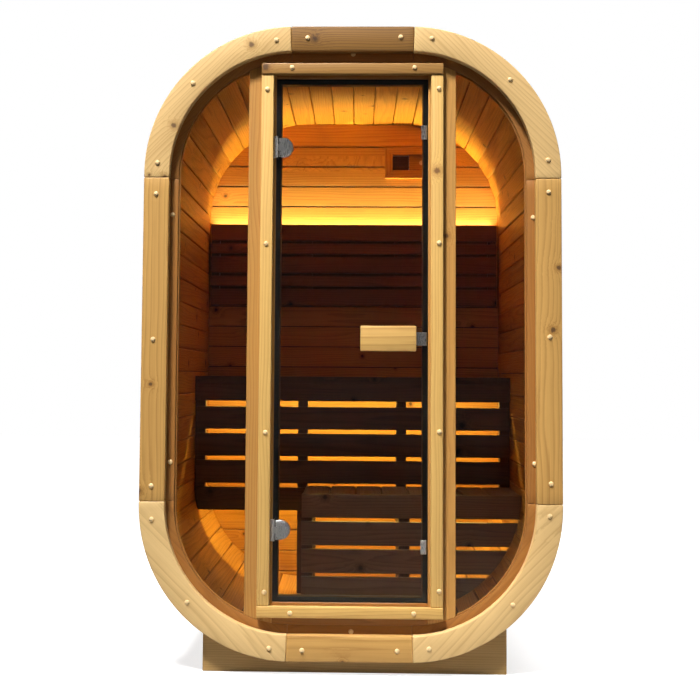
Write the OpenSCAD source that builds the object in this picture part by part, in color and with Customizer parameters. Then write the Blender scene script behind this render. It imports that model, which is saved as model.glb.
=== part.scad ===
// Outdoor sauna: a rounded timber shell on two cradles, with a glazed front,
// a glass door, a boarded back wall, an upper bench, a lower bench and a backrest.
// X runs to the right, Y into the cabin and Z up. The origin is on the ground, at the
// middle of the overall width and depth.

/* [Shell] */
// Width over the trim rings
cabin_w = 1390; // [1250:10:1700]
// Height of the trim rings
ring_h = 2100; // [1950:10:2400]
// Depth over both trim rings
cabin_d = 1370; // [1250:10:2200]
// Outer radius of the ring's corners
corner_r = 500; // [440:10:560]
// Thickness of the shell's staves
stave_t = 48; // [36:1:60]
// How far the rings stand out past the staves
shell_reveal = 15; // [5:1:20]
// Thickness of the back wall
back_t = 45; // [30:1:60]

/* [Trim rings] */
// Width of a ring board
ring_w = 85; // [75:1:100]
// Thickness of a ring board
ring_t = 34; // [24:1:45]
// Distance from the middle to the joints of the top and bottom boards
ring_joint = 206; // [160:1:230]
// Distance from the side boards' joints to the bends
corner_run = 13; // [5:1:40]

/* [Cradles] */
// Clear height under the rings
ground_gap = 45; // [30:1:100]
// Length of a cradle
cradle_w = 1000; // [800:10:1060]
// How far the cradles stand to the right of the middle
cradle_x = 16; // [-30:1:30]
// Thickness of a cradle
cradle_t = 60; // [40:1:90]
// Distance from a ring's inner face to its cradle
cradle_set = 16; // [0:1:200]

/* [Front frame] */
// Width of the frame board inside the shell
frame_w = 49; // [38:1:55]
// Depth of the frame and the jambs
frame_t = 45; // [40:1:70]
// Thickness of the side glass
pane_t = 8; // [5:1:10]
// Distance from the frame's face to the side glass
pane_set = 16; // [10:1:20]
// Depth of the glazing groove
groove = 8; // [5:1:12]
// Play of the glass in its groove
groove_gap = 0.3; // [0.2:0.1:0.5]

/* [Door frame] */
// Clear width between the jambs
door_open_w = 512; // [460:2:560]
// Distance from the ring's lower edge up to the threshold
sill_rise = 185; // [180:1:207]
// Distance from the ring's upper edge down to the underside of the frame's head
head_drop = 170; // [167:1:332]
// Width of a jamb
jamb_w = 92; // [80:1:100]
// Width of the side casing boards
casing_w = 41; // [30:1:50]
// Thickness of the side casing boards
casing_t = 22; // [14:1:26]
// Height of the head and sill casing boards
casing_h = 37; // [30:1:37]
// Thickness of the head and sill casing boards
rail_t = 26; // [16:1:30]
// Strip of jamb left bare beside the casing
jamb_reveal = 8; // [8:1:18]
// Strip of frame left bare at the head and sill
rail_reveal = 10; // [8:1:19]
// Width of the stop behind the door
stop_w = 19; // [18:1:30]
// Width of the seal on the stop
seal_w = 16; // [8:1:17]
// Thickness of the seal
seal_t = 6; // [4:1:8]
// Gap from the closed door to the seal
seal_gap = 2; // [1:0.5:4]

/* [Door] */
// Thickness of the door glass
door_t = 8; // [6:1:10]
// Gap between the door and its frame
door_gap = 5; // [5:0.5:8]
// Distance from the jamb's face to the glass
door_set = 2; // [1:1:6]
// Length of the handle block
handle_l = 184; // [120:1:200]
// Height of the handle block
handle_h = 83; // [60:1:110]
// Thickness of the handle block
handle_t = 44; // [43:1:60]
// Height of the handle's middle above the threshold
handle_up = 868; // [700:1:950]
// Length of the latch plate
latch_l = 36; // [26:1:50]
// Height of the latch plate
latch_h = 43; // [30:1:60]
// Thickness of the door's metal plates
plate_t = 5; // [4:0.5:5]
// Width of a catch plate
catch_w = 19; // [14:1:26]
// Height of a catch plate
catch_h = 46; // [30:1:60]
// Distance from the opening's upper and lower end to a catch plate's middle
catch_end = 183; // [100:1:400]
// Distance from the opening's upper and lower end to a hinge's middle
hinge_end = 235; // [100:1:400]
// Radius of the hinge plate's round end
hinge_r = 32; // [24:1:40]
// Length of the hinge barrel
barrel_l = 71; // [54:1:90]
// Outer radius of the hinge barrel
barrel_r = 6.5; // [5:0.5:6.5]
// Radius of the hinge pin
pin_r = 3; // [2:0.5:3.5]
// Radial play of the hinge pin
pin_play = 0.06; // [0.03:0.01:0.1]
// Gap between two barrel sections
barrel_gap = 0.6; // [0.4:0.1:1.5]

/* [Benches] */
// Height of the upper seat above the cabin's floor
seat_up = 862; // [780:2:940]
// Depth of the upper bench
seat_d = 425; // [380:5:480]
// Thickness of the seat boards
seat_t = 28; // [20:1:40]
// Height of the apron under the seat
apron_h = 70; // [50:1:90]
// Gap between the apron and the first skirt board
apron_gap = 23; // [8:1:40]
// Height of a skirt board
slat_h = 90; // [60:1:95]
// Thickness of the skirt boards
slat_t = 20; // [14:1:28]
// Gap between the skirt boards
slat_gap = 17; // [8:1:30]
// Width of the bench posts
post_w = 41; // [30:1:60]
// Distance from the middle to the inner posts
post_x = 197; // [150:1:300]
// Gap between a bench and the wall
wall_gap = 2; // [1:0.5:6]
// Height of the lower bench above the cabin's floor
step_up = 428; // [380:1:470]
// Depth of the lower bench
step_d = 339; // [280:1:400]
// Distance from the middle to the lower bench's left end
step_left = 183; // [100:1:300]
// Thickness of the lower bench's top
step_t = 22; // [16:1:30]
// Height of a lower front board
step_slat_h = 87; // [60:1:90]
// Gap between the lower front boards
step_gap = 14; // [8:1:30]

/* [Backrest and lights] */
// Distance of the backrest's middle above the middle between the seat and the vent
rest_up = 49; // [-60:1:100]
// Height of a wide backrest slat
rest_wide = 71; // [50:1:80]
// Height of a narrow backrest slat
rest_narrow = 44; // [30:1:60]
// Gap between the backrest slats
rest_gap = 13; // [6:1:16]
// Thickness of the backrest slats
rest_t = 18; // [12:1:25]
// Thickness of the rails behind the backrest
rail_d = 26; // [22:1:40]
// Gap between the backrest's ends and the walls
rest_end = 12; // [6:1:40]
// Height and depth of a light strip
light_s = 10; // [6:1:14]

/* [Vent] */
// Distance from the ring's upper edge down to the vent's middle
vent_drop = 237; // [230:1:300]
// Distance from the middle to the vent frame's left edge
vent_left = 136; // [60:1:140]
// Width of the vent frame
vent_w = 240; // [210:1:250]
// Height of the vent frame
vent_h = 136; // [110:1:140]
// Thickness of the vent frame
vent_t = 24; // [20:1:30]
// Width of the vent frame's border
vent_border = 34; // [26:1:36]
// Width of the vent hole
vent_hole = 72; // [60:1:74]
// Thickness of the slider
slider_t = 10; // [6:1:12]
// How far the slider runs into the border
slider_lap = 8; // [4:1:10]
// Play of the slider in its groove
slider_play = 0.4; // [0.3:0.1:0.8]
// Diameter of the slider's knob
knob_d = 20; // [14:1:26]
// How far the knob stands out
knob_l = 14; // [8:1:20]

/* [Hidden] */
$fn = 96;

// Finishes
pine = "burlywood";
pine_shade = "peru";
cedar = "chocolate";
dark_wood = "saddlebrown";
steel = "silver";
black = "dimgray";
clear_glass = [0.8, 0.9, 0.95, 0.35];
warm_light = "gold";

// Depths: the handle is the foremost piece, so the cabin is set back by half of what it stands out
over = 1;
door_front = ring_t + door_set;
handle_out = handle_t - door_front;
front_y = -(cabin_d - handle_out) / 2;
shell_front = front_y + ring_t;
shell_back = front_y + cabin_d - ring_t;
back_face = shell_back - back_t;
frame_back = shell_front + frame_t;
glass_y = front_y + door_front;
seal_y = glass_y + door_t + seal_gap;

// Outlines, as distances inside the ring's outer edge
half_w = cabin_w / 2;
ring_low = ground_gap;
ring_high = ground_gap + ring_h;
shell_in = shell_reveal + stave_t;
frame_in = shell_in + frame_w;
bend_x = half_w - corner_r;
bend_low = ring_low + corner_r;
bend_high = ring_high - corner_r;
room_half = half_w - shell_in;

// Door frame
door_low = ring_low + sill_rise;
door_high = ring_high - head_drop;
jamb_x = door_open_w / 2;
jamb_out = jamb_x + jamb_w;
casing_in = jamb_x + jamb_reveal;
casing_out = casing_in + casing_w;
head_z = door_high + rail_reveal;
sill_z = door_low - rail_reveal - casing_h;

// Door and hinges: the barrel's axis stands clear of the bracket's leaf
leaf_t = 3;
leaf_gap = 0.5;
axis_in = 1;
plate_gap = 2.5;
plate_neck = 15;
axis_x = -jamb_x + axis_in;
axis_y = shell_front - leaf_t - leaf_gap - barrel_r;
door_half = jamb_x - door_gap;
door_z0 = door_low + door_gap;
door_z1 = door_high - door_gap;
barrel_third = (barrel_l - 2 * barrel_gap) / 3;
plate_x = axis_x + barrel_r + plate_gap;
disc_x = plate_x + plate_neck;
inner_plate_x = -jamb_x + seal_w + leaf_t;
latch_x = door_half - latch_l;
handle_z = door_low + handle_up;
hinge_heights = [door_low + hinge_end, door_high - hinge_end];
catch_heights = [door_low + catch_end, door_high - catch_end];

// Benches
floor_z = ring_low + shell_in;
seat_z = floor_z + seat_up;
step_z = floor_z + step_up;
skirt_y = back_face - seat_d;
post_y = skirt_y + slat_t;
slat_top = seat_z - seat_t - apron_h - apron_gap;
slat_pitch = slat_h + slat_gap;
slat_count = 4;
skirt_low = slat_top - slat_count * slat_pitch + slat_gap;
outer_post_x = room_half - wall_gap - post_w / 2;
post_xs = [-outer_post_x, -post_x, post_x, outer_post_x];
step_y = skirt_y - step_d;
step_pitch = step_slat_h + step_gap;
step_count = 4;
step_post_xs = [-step_left + post_w / 2, post_x];
ledger_h = 60;
ledger_t = 26;

// Vent
vent_z = ring_high - vent_drop;
vent_low = vent_z - vent_h / 2;
vent_open_h = vent_h - 2 * vent_border;
vent_open_w = vent_w - 2 * vent_border;
hole_x = vent_left + vent_border;
slider_h = vent_open_h + 2 * slider_lap;
slider_w = vent_open_w - vent_hole + slider_lap;
channel_t = slider_t + 2 * slider_play;
lip_t = vent_t - channel_t;

// Backrest, from the top down: wide, narrow, wide, narrow, wide
rest_half = room_half - rest_end;
rest_y = back_face - rail_d - rest_t;
rest_hs = [rest_wide, rest_narrow, rest_wide, rest_narrow, rest_wide];
rest_rail_w = 36;
rest_rail_xs = [-rest_half + rest_rail_w / 2, -post_x, post_x, rest_half - rest_rail_w / 2];
rest_h = 3 * rest_wide + 2 * rest_narrow + 4 * rest_gap;
rest_z = (seat_z + vent_low) / 2 + rest_up + rest_h / 2;
rail_top_drop = 18;

// Sum of the first n entries of a list
function sum_first(list, n) = n == 0 ? 0 : list[n - 1] + sum_first(list, n - 1);

// A box given by its corners
module block(low, high) {
    translate(low)
        cube(high - low);
}

// The ring's outline moved inwards by inset, as a slab from y0 to y1
module outline_slab(inset, y0, y1) {
    r = corner_r - inset;
    translate([0, y1, 0])
        rotate([90, 0, 0])
            linear_extrude(y1 - y0)
                union() {
                    translate([-half_w + inset, bend_low])
                        square([cabin_w - 2 * inset, bend_high - bend_low]);
                    translate([-bend_x, ring_low + inset])
                        square([2 * bend_x, ring_h - 2 * inset]);
                    for (x = [-bend_x, bend_x], z = [bend_low, bend_high])
                        translate([x, z])
                            circle(r);
                }
}

// A quarter bend between two insets; sx and sz choose the corner
module bend(inset0, inset1, y0, y1, sx, sz) {
    start = sx > 0 ? (sz > 0 ? 0 : 270) : (sz > 0 ? 90 : 180);
    translate([sx * bend_x, y1, sz > 0 ? bend_high : bend_low])
        rotate([90, 0, 0])
            rotate([0, 0, start])
                rotate_extrude(angle = 90)
                    translate([corner_r - inset1, 0])
                        square([inset1 - inset0, y1 - y0]);
}

// A flat side board between two insets
module side_board(inset0, inset1, y0, y1, sx) {
    xa = sx * (half_w - inset0);
    xb = sx * (half_w - inset1);
    block([min(xa, xb), y0, bend_low], [max(xa, xb), y1, bend_high]);
}

// A flat top or bottom board between two insets
module level_board(inset0, inset1, y0, y1, sz) {
    za = sz > 0 ? ring_high - inset0 : ring_low + inset0;
    zb = sz > 0 ? ring_high - inset1 : ring_low + inset1;
    block([-bend_x, y0, min(za, zb)], [bend_x, y1, max(za, zb)]);
}

// The part of a ring that starts at y0 between two corners in X and Z
module ring_part(y0, low, high) {
    intersection() {
        difference() {
            outline_slab(0, y0, y0 + ring_t);
            outline_slab(ring_w, y0 - over, y0 + ring_t + over);
        }
        block([low[0], y0 - over, low[1]], [high[0], y0 + ring_t + over, high[1]]);
    }
}

// The top board of a ring, or its bottom board for sz below 0
module ring_level(y0, sz) {
    ring_part(y0, [-ring_joint, sz > 0 ? bend_high : 0], [ring_joint, sz > 0 ? 2 * ring_high : bend_low]);
}

// A side board of a ring
module ring_side(y0, sx) {
    ring_part(y0, [sx > 0 ? 0 : -cabin_w, bend_low + corner_run],
              [sx > 0 ? cabin_w : 0, bend_high - corner_run]);
}

// A corner board of a ring
module ring_corner(y0, sx, sz) {
    ring_part(y0, [sx > 0 ? ring_joint : -cabin_w, sz > 0 ? bend_high - corner_run : 0],
              [sx > 0 ? cabin_w : -ring_joint, sz > 0 ? 2 * ring_high : bend_low + corner_run]);
}

// The room inside the staves, less a small gap, from y0 to y1
module room(gap, y0, y1) {
    outline_slab(shell_in + gap, y0, y1);
}

module front_ring_top() {
    color(pine)
        ring_level(front_y, 1);
}

module front_ring_bottom() {
    color(pine)
        ring_level(front_y, -1);
}

module front_ring_sides() {
    color(pine)
        for (sx = [-1, 1])
            ring_side(front_y, sx);
}

module front_ring_upper_corners() {
    color(pine)
        for (sx = [-1, 1])
            ring_corner(front_y, sx, 1);
}

module front_ring_lower_corners() {
    color(pine)
        for (sx = [-1, 1])
            ring_corner(front_y, sx, -1);
}

module back_ring_boards() {
    color(pine)
        for (s = [-1, 1]) {
            ring_side(shell_back, s);
            ring_level(shell_back, s);
        }
}

module back_ring_corners() {
    color(pine)
        for (sx = [-1, 1], sz = [-1, 1])
            ring_corner(shell_back, sx, sz);
}

module wall_left() {
    color(cedar)
        side_board(shell_reveal, shell_in, shell_front, shell_back, -1);
}

module wall_right() {
    color(cedar)
        side_board(shell_reveal, shell_in, shell_front, shell_back, 1);
}

module ceiling() {
    color(cedar)
        level_board(shell_reveal, shell_in, shell_front, shell_back, 1);
}

module floor() {
    color(cedar)
        level_board(shell_reveal, shell_in, shell_front, shell_back, -1);
}

module shell_upper_corners() {
    color(cedar)
        for (sx = [-1, 1])
            bend(shell_reveal, shell_in, shell_front, shell_back, sx, 1);
}

module shell_lower_corners() {
    color(cedar)
        for (sx = [-1, 1])
            bend(shell_reveal, shell_in, shell_front, shell_back, sx, -1);
}

module back_wall() {
    color(cedar)
        difference() {
            room(0, back_face, shell_back);
            block([hole_x, back_face - over, vent_z - vent_open_h / 2],
                  [hole_x + vent_hole, shell_back + over, vent_z + vent_open_h / 2]);
        }
}

// The groove that holds the side glass, as a slab to cut away
module glazing_groove() {
    outline_slab(frame_in - groove - groove_gap, shell_front + pane_set - groove_gap,
                 shell_front + pane_set + pane_t + groove_gap);
}

module front_frame_arch() {
    color(pine_shade)
        difference() {
            union() {
                for (sx = [-1, 1])
                    bend(shell_in, frame_in, shell_front, frame_back, sx, 1);
                level_board(shell_in, frame_in, shell_front, frame_back, 1);
            }
            glazing_groove();
        }
}

module front_frame_base() {
    color(pine_shade)
        difference() {
            union() {
                for (sx = [-1, 1])
                    bend(shell_in, frame_in, shell_front, frame_back, sx, -1);
                level_board(shell_in, frame_in, shell_front, frame_back, -1);
            }
            glazing_groove();
        }
}

module front_frame_sides() {
    color(pine_shade)
        difference() {
            for (sx = [-1, 1])
                side_board(shell_in, frame_in, shell_front, frame_back, sx);
            glazing_groove();
        }
}

// A jamb, cut at both ends by the frame and grooved for the side glass
module jamb(sx) {
    difference() {
        intersection() {
            outline_slab(frame_in, shell_front, frame_back);
            block([min(sx * jamb_x, sx * jamb_out), shell_front - over, 0],
                  [max(sx * jamb_x, sx * jamb_out), frame_back + over, ring_high]);
        }
        x0 = sx * (jamb_out - groove);
        x1 = sx * (jamb_out + over);
        block([min(x0, x1), shell_front + pane_set - groove_gap, 0],
              [max(x0, x1), shell_front + pane_set + pane_t + groove_gap, ring_high]);
    }
}

module jamb_left() {
    color(pine)
        jamb(-1);
}

module jamb_right() {
    color(pine)
        jamb(1);
}

module frame_head() {
    color(pine)
        intersection() {
            outline_slab(frame_in, shell_front, frame_back);
            block([-jamb_x, shell_front - over, door_high], [jamb_x, frame_back + over, ring_high]);
        }
}

module frame_sill() {
    color(pine)
        intersection() {
            outline_slab(frame_in, shell_front, frame_back);
            block([-jamb_x, shell_front - over, 0], [jamb_x, frame_back + over, door_low]);
        }
}

module casing_posts() {
    color(pine)
        for (sx = [-1, 1])
            block([min(sx * casing_in, sx * casing_out), shell_front - casing_t, sill_z + casing_h],
                  [max(sx * casing_in, sx * casing_out), shell_front, head_z]);
}

module casing_head() {
    color(pine)
        block([-casing_out, shell_front - rail_t, head_z], [casing_out, shell_front, head_z + casing_h]);
}

module casing_sill() {
    color(pine)
        block([-casing_out, shell_front - rail_t, sill_z], [casing_out, shell_front, sill_z + casing_h]);
}

// A flat frame around the door opening, w wide and from y0 to y1
module door_border(w, y0, y1) {
    difference() {
        block([-jamb_x, y0, door_low], [jamb_x, y1, door_high]);
        block([-jamb_x + w, y0 - over, door_low + w], [jamb_x - w, y1 + over, door_high - w]);
    }
}

module door_stop() {
    color(pine_shade)
        door_border(stop_w, seal_y + seal_t, frame_back);
}

module door_seal() {
    color(black)
        door_border(seal_w, seal_y, seal_y + seal_t);
}

module side_glass() {
    y0 = shell_front + pane_set;
    inner_x = jamb_out - groove + groove_gap;
    color(clear_glass)
        for (sx = [-1, 1])
            intersection() {
                outline_slab(frame_in - groove, y0, y0 + pane_t);
                block([min(sx * inner_x, sx * half_w), y0 - over, 0],
                      [max(sx * inner_x, sx * half_w), y0 + pane_t + over, ring_high]);
            }
}

// The fixed half of a hinge: a leaf on the jamb, two barrel sections and the pin
module hinge_brackets() {
    color(steel)
        for (z = hinge_heights)
            union() {
                block([-casing_in, shell_front - leaf_t, z - barrel_l / 2],
                      [-jamb_x, shell_front, z + barrel_l / 2]);
                for (end = [-1, 1]) {
                    z0 = end > 0 ? z + barrel_l / 2 - barrel_third : z - barrel_l / 2;
                    translate([axis_x, axis_y, z0])
                        cylinder(h = barrel_third, r = barrel_r);
                    block([axis_x - barrel_r, axis_y, z0],
                          [-jamb_x, shell_front - leaf_t, z0 + barrel_third]);
                }
                translate([axis_x, axis_y, z - barrel_l / 2])
                    cylinder(h = barrel_l, r = pin_r);
            }
}

module door_glass() {
    color(clear_glass)
        block([-door_half, glass_y, door_z0], [door_half, glass_y + door_t, door_z1]);
}

// A hinge plate on the glass, from x0 to its round end
module hinge_plate(x0, y0, y1, z) {
    intersection() {
        union() {
            translate([disc_x, y1, z])
                rotate([90, 0, 0])
                    cylinder(h = y1 - y0, r = hinge_r);
            block([disc_x - 2 * hinge_r, y0, z - hinge_r], [disc_x, y1, z + hinge_r]);
        }
        block([x0, y0 - over, z - hinge_r - over], [disc_x + 2 * hinge_r, y1 + over, z + hinge_r + over]);
    }
}

module hinge_plates() {
    color(steel)
        for (z = hinge_heights) {
            difference() {
                union() {
                    hinge_plate(plate_x, glass_y - plate_t, glass_y, z);
                    translate([axis_x, axis_y, z - barrel_third / 2])
                        cylinder(h = barrel_third, r = barrel_r);
                    block([axis_x, axis_y, z - barrel_third / 2],
                          [plate_x + barrel_r, shell_front, z + barrel_third / 2]);
                }
                translate([axis_x, axis_y, z - barrel_l])
                    cylinder(h = 2 * barrel_l, r = pin_r + pin_play);
            }
            hinge_plate(inner_plate_x, glass_y + door_t, glass_y + door_t + plate_t, z);
        }
}

module door_handle() {
    color(pine)
        block([latch_x - handle_l, glass_y - handle_t, handle_z - handle_h / 2],
              [latch_x, glass_y, handle_z + handle_h / 2]);
}

// The latch plate beside the handle and the two catch plates at the free edge
module door_plates() {
    color(steel) {
        block([latch_x, glass_y - plate_t, handle_z - latch_h / 2],
              [door_half, glass_y, handle_z + latch_h / 2]);
        for (z = catch_heights)
            block([door_half - catch_w, glass_y - plate_t, z - catch_h / 2],
                  [door_half, glass_y, z + catch_h / 2]);
    }
}

// The vent's frame, with a channel behind its lip for the slider
module vent_frame() {
    y0 = back_face - vent_t;
    color(cedar)
        difference() {
            block([vent_left, y0, vent_low], [vent_left + vent_w, back_face, vent_low + vent_h]);
            block([hole_x, y0 - over, vent_z - vent_open_h / 2],
                  [hole_x + vent_open_w, back_face + over, vent_z + vent_open_h / 2]);
            block([hole_x - slider_lap - slider_play, y0 + lip_t, vent_z - slider_h / 2 - slider_play],
                  [hole_x + vent_open_w + slider_lap + slider_play, back_face + over,
                   vent_z + slider_h / 2 + slider_play]);
        }
}

// The slider, shown open, with its knob
module vent_slider() {
    x1 = hole_x + vent_open_w + slider_lap;
    y0 = back_face - slider_play - slider_t;
    color(cedar)
        union() {
            block([x1 - slider_w, y0, vent_z - slider_h / 2], [x1, y0 + slider_t, vent_z + slider_h / 2]);
            translate([x1 - slider_w / 2, y0, vent_z])
                rotate([90, 0, 0])
                    cylinder(h = knob_l, r = knob_d / 2);
        }
}

module backrest_slats() {
    color(dark_wood)
        intersection() {
            room(rest_end, rest_y, rest_y + rest_t);
            for (i = [0 : len(rest_hs) - 1]) {
                top = rest_z - sum_first(rest_hs, i) - i * rest_gap;
                block([-half_w, rest_y - over, top - rest_hs[i]], [half_w, rest_y + rest_t + over, top]);
            }
        }
}

module backrest_rails() {
    color(dark_wood)
        intersection() {
            room(rest_end, rest_y + rest_t, back_face);
            for (x = rest_rail_xs)
                block([x - rest_rail_w / 2, rest_y, rest_z - rest_h],
                      [x + rest_rail_w / 2, back_face + over, rest_z - light_s - rail_top_drop]);
        }
}

// One strip on the wall behind the backrest's top slat and one under the seat
module light_strips() {
    color(warm_light) {
        intersection() {
            room(2 * rest_end, back_face - light_s, back_face);
            block([-half_w, back_face - light_s - over, rest_z - light_s - rail_top_drop],
                  [half_w, back_face + over, rest_z - rail_top_drop]);
        }
        block([-rest_half + rest_end, post_y + post_w, seat_z - seat_t - light_s],
              [rest_half - rest_end, post_y + post_w + light_s, seat_z - seat_t]);
    }
}

module bench_seat() {
    color(dark_wood)
        block([-room_half + wall_gap, skirt_y, seat_z - seat_t], [room_half - wall_gap, back_face, seat_z]);
}

// The apron and the boards below it
module bench_skirt() {
    color(dark_wood) {
        block([-room_half + wall_gap, skirt_y, seat_z - seat_t - apron_h],
              [room_half - wall_gap, post_y, seat_z - seat_t]);
        intersection() {
            room(wall_gap, skirt_y, post_y);
            for (i = [0 : slat_count - 1])
                block([-half_w, skirt_y - over, slat_top - i * slat_pitch - slat_h],
                      [half_w, post_y + over, slat_top - i * slat_pitch]);
        }
    }
}

// Posts from the shell to the seat, and a ledger along the back wall
module bench_posts() {
    color(dark_wood) {
        intersection() {
            room(0, post_y, post_y + post_w);
            for (x = post_xs)
                block([x - post_w / 2, post_y - over, abs(x) > post_x ? skirt_low : 0],
                      [x + post_w / 2, post_y + post_w + over, seat_z - seat_t]);
        }
        block([-room_half + wall_gap, back_face - ledger_t, seat_z - seat_t - ledger_h],
              [room_half - wall_gap, back_face, seat_z - seat_t]);
    }
}

module step_top() {
    color(dark_wood)
        intersection() {
            room(wall_gap, step_y + slat_t, skirt_y);
            block([-step_left, step_y, step_z - step_t], [half_w, skirt_y, step_z]);
        }
}

module step_skirt() {
    color(dark_wood)
        intersection() {
            room(wall_gap, step_y, step_y + slat_t);
            for (i = [0 : step_count - 1])
                block([-step_left, step_y - over, step_z - i * step_pitch - step_slat_h],
                      [half_w, step_y + slat_t + over, step_z - i * step_pitch]);
        }
}

module step_posts() {
    color(dark_wood)
        for (y0 = [step_y + slat_t, skirt_y - post_w])
            intersection() {
                room(0, y0, y0 + post_w);
                for (x = step_post_xs)
                    block([x - post_w / 2, y0 - over, 0],
                          [x + post_w / 2, y0 + post_w + over, step_z - step_t]);
            }
}

// Two cradles cut to the shell's outer curve
module cradles() {
    color(pine)
        for (y0 = [shell_front + cradle_set, shell_back - cradle_set - cradle_t])
            difference() {
                block([cradle_x - cradle_w / 2, y0, 0], [cradle_x + cradle_w / 2, y0 + cradle_t, bend_low]);
                outline_slab(shell_reveal, y0 - over, y0 + cradle_t + over);
            }
}

front_ring_top();
front_ring_bottom();
front_ring_sides();
front_ring_upper_corners();
front_ring_lower_corners();
back_ring_boards();
back_ring_corners();
wall_left();
wall_right();
ceiling();
floor();
shell_upper_corners();
shell_lower_corners();
back_wall();
front_frame_arch();
front_frame_base();
front_frame_sides();
jamb_left();
jamb_right();
frame_head();
frame_sill();
casing_posts();
casing_head();
casing_sill();
door_stop();
door_seal();
side_glass();
hinge_brackets();
door_glass();
hinge_plates();
door_handle();
door_plates();
vent_frame();
vent_slider();
backrest_slats();
backrest_rails();
light_strips();
bench_seat();
bench_skirt();
bench_posts();
step_top();
step_skirt();
step_posts();
cradles();
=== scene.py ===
import math

import bmesh
import bpy
from mathutils import Matrix, Vector


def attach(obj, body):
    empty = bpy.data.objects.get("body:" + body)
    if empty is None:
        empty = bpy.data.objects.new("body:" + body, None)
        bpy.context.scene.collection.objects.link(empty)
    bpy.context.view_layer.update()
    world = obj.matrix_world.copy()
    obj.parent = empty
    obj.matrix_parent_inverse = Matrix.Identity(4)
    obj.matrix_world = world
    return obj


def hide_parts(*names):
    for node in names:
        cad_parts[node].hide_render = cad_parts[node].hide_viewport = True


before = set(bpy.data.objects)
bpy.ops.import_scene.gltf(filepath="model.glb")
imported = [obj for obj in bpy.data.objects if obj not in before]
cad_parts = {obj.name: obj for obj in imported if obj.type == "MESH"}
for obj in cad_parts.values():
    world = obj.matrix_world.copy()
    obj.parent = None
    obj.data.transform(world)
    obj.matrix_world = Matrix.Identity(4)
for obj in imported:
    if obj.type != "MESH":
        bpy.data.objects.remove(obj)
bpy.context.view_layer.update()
scene = bpy.context.scene

# the cabin's outline, shared by every piece, in metres
cabin = {
    "half": 0.695, "low": 0.045, "high": 2.145, "corner": 0.5,
    "front": -0.681, "shellFront": -0.647, "frameBack": -0.602,
    "backFace": 0.610, "shellBack": 0.655, "back": 0.689,
    "ringWide": 0.085, "staveOut": 0.015, "staveIn": 0.063, "frameIn": 0.112,
}
shellFront, frameBack, backFace, shellBack, staveIn = (
    cabin[key] for key in ("shellFront", "frameBack", "backFace", "shellBack", "staveIn"))
bendX = cabin["half"] - cabin["corner"]
bendLow = cabin["low"] + cabin["corner"]
bendHigh = cabin["high"] - cabin["corner"]
midZ = (cabin["low"] + cabin["high"]) / 2
pathRadius = cabin["corner"] - staveIn
pathLength = 4 * bendX + 2 * (bendHigh - bendLow) + 2 * math.pi * pathRadius
roomHalf = cabin["half"] - staveIn
wallToWall = (-1.0, 1.0)  # the room tree cuts such boards at the walls
helpers = []
current = {}  # the node tree that is being built


def addObject(name, data):
    piece = bpy.data.objects.new(name, data)
    scene.collection.objects.link(piece)
    return piece


def addHelper(name, data):
    # lends its shape to other pieces and is removed at the end
    helpers.append(addObject(name, data))
    return helpers[-1]


def newMesh(name, points, faces=()):
    mesh = bpy.data.meshes.new(name)
    mesh.from_pydata(points, [], faces)
    return mesh


# node helpers


def startTree(name, kind, inputs, outputs):
    tree = current["tree"] = bpy.data.node_groups.new(name, kind)
    for title, socketKind, value in inputs:
        socket = tree.interface.new_socket(name=title, in_out="INPUT", socket_type="NodeSocket" + socketKind)
        if value is not None:
            socket.default_value = value
    for title, socketKind in outputs:
        tree.interface.new_socket(name=title, in_out="OUTPUT", socket_type="NodeSocket" + socketKind)
    return tree, tree.nodes.new("NodeGroupInput").outputs, tree.nodes.new("NodeGroupOutput").inputs


def plug(socket, value):
    if isinstance(value, bpy.types.NodeSocket):
        current["tree"].links.new(value, socket)
    elif value is not None:
        socket.default_value = value


def plugAll(node, values):
    for key, value in values.items():
        plug(node.inputs[key], value)


def add(kind, values=None, **settings):
    made = current["tree"].nodes.new(kind)
    for key, value in settings.items():
        setattr(made, key, value)
    plugAll(made, values or {})
    return made


def calc(operation, *values):
    return add("ShaderNodeMath", dict(enumerate(values)), operation=operation).outputs[0]


def plus(one, two):
    return calc("ADD", one, two)


def minus(one, two):
    return calc("SUBTRACT", one, two)


def times(one, two):
    return calc("MULTIPLY", one, two)


def timesPlus(one, two, three):
    return calc("MULTIPLY_ADD", one, two, three)


def larger(one, two):
    return calc("MAXIMUM", one, two)


def between(low, high, share):
    return timesPlus(minus(high, low), share, low)


def clamp(value, low=0.0, high=1.0):
    return add("ShaderNodeClamp", {"Value": value, "Min": low, "Max": high}).outputs[0]


def remap(value, *limits, kind="LINEAR"):
    # limits: from low, from high, to low, to high
    return add("ShaderNodeMapRange", dict(enumerate((value, *limits))), interpolation_type=kind).outputs[0]


def vectorCalc(operation, *values):
    made = add("ShaderNodeVectorMath", operation=operation)
    for i, value in enumerate(values):
        plug(made.inputs["Scale" if operation == "SCALE" and i == 1 else i], value)
    return made.outputs["Value" if operation == "LENGTH" else "Vector"]


def joinXyz(x, y, z):
    return add("ShaderNodeCombineXYZ", {0: x, 1: y, 2: z}).outputs[0]


def splitXyz(vector):
    return add("ShaderNodeSeparateXYZ", {0: vector}).outputs


def read(name, kind="FLOAT"):
    return add("GeometryNodeInputNamedAttribute", {"Name": name}, data_type=kind).outputs[0]


def readXyz(name):
    return splitXyz(read(name, "FLOAT_VECTOR"))


def readBetween(low, high, share):
    return between(read(low), read(high), share)


def position():
    return add("GeometryNodeInputPosition").outputs[0]


def moveTo(geometry, place):
    return add("GeometryNodeSetPosition", {"Geometry": geometry, "Position": place}).outputs[0]


def switch(kind, which, whenFalse, whenTrue):
    values = {"Switch": which, "False": whenFalse, "True": whenTrue}
    return add("GeometryNodeSwitch", values, input_type=kind).outputs[0]


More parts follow.
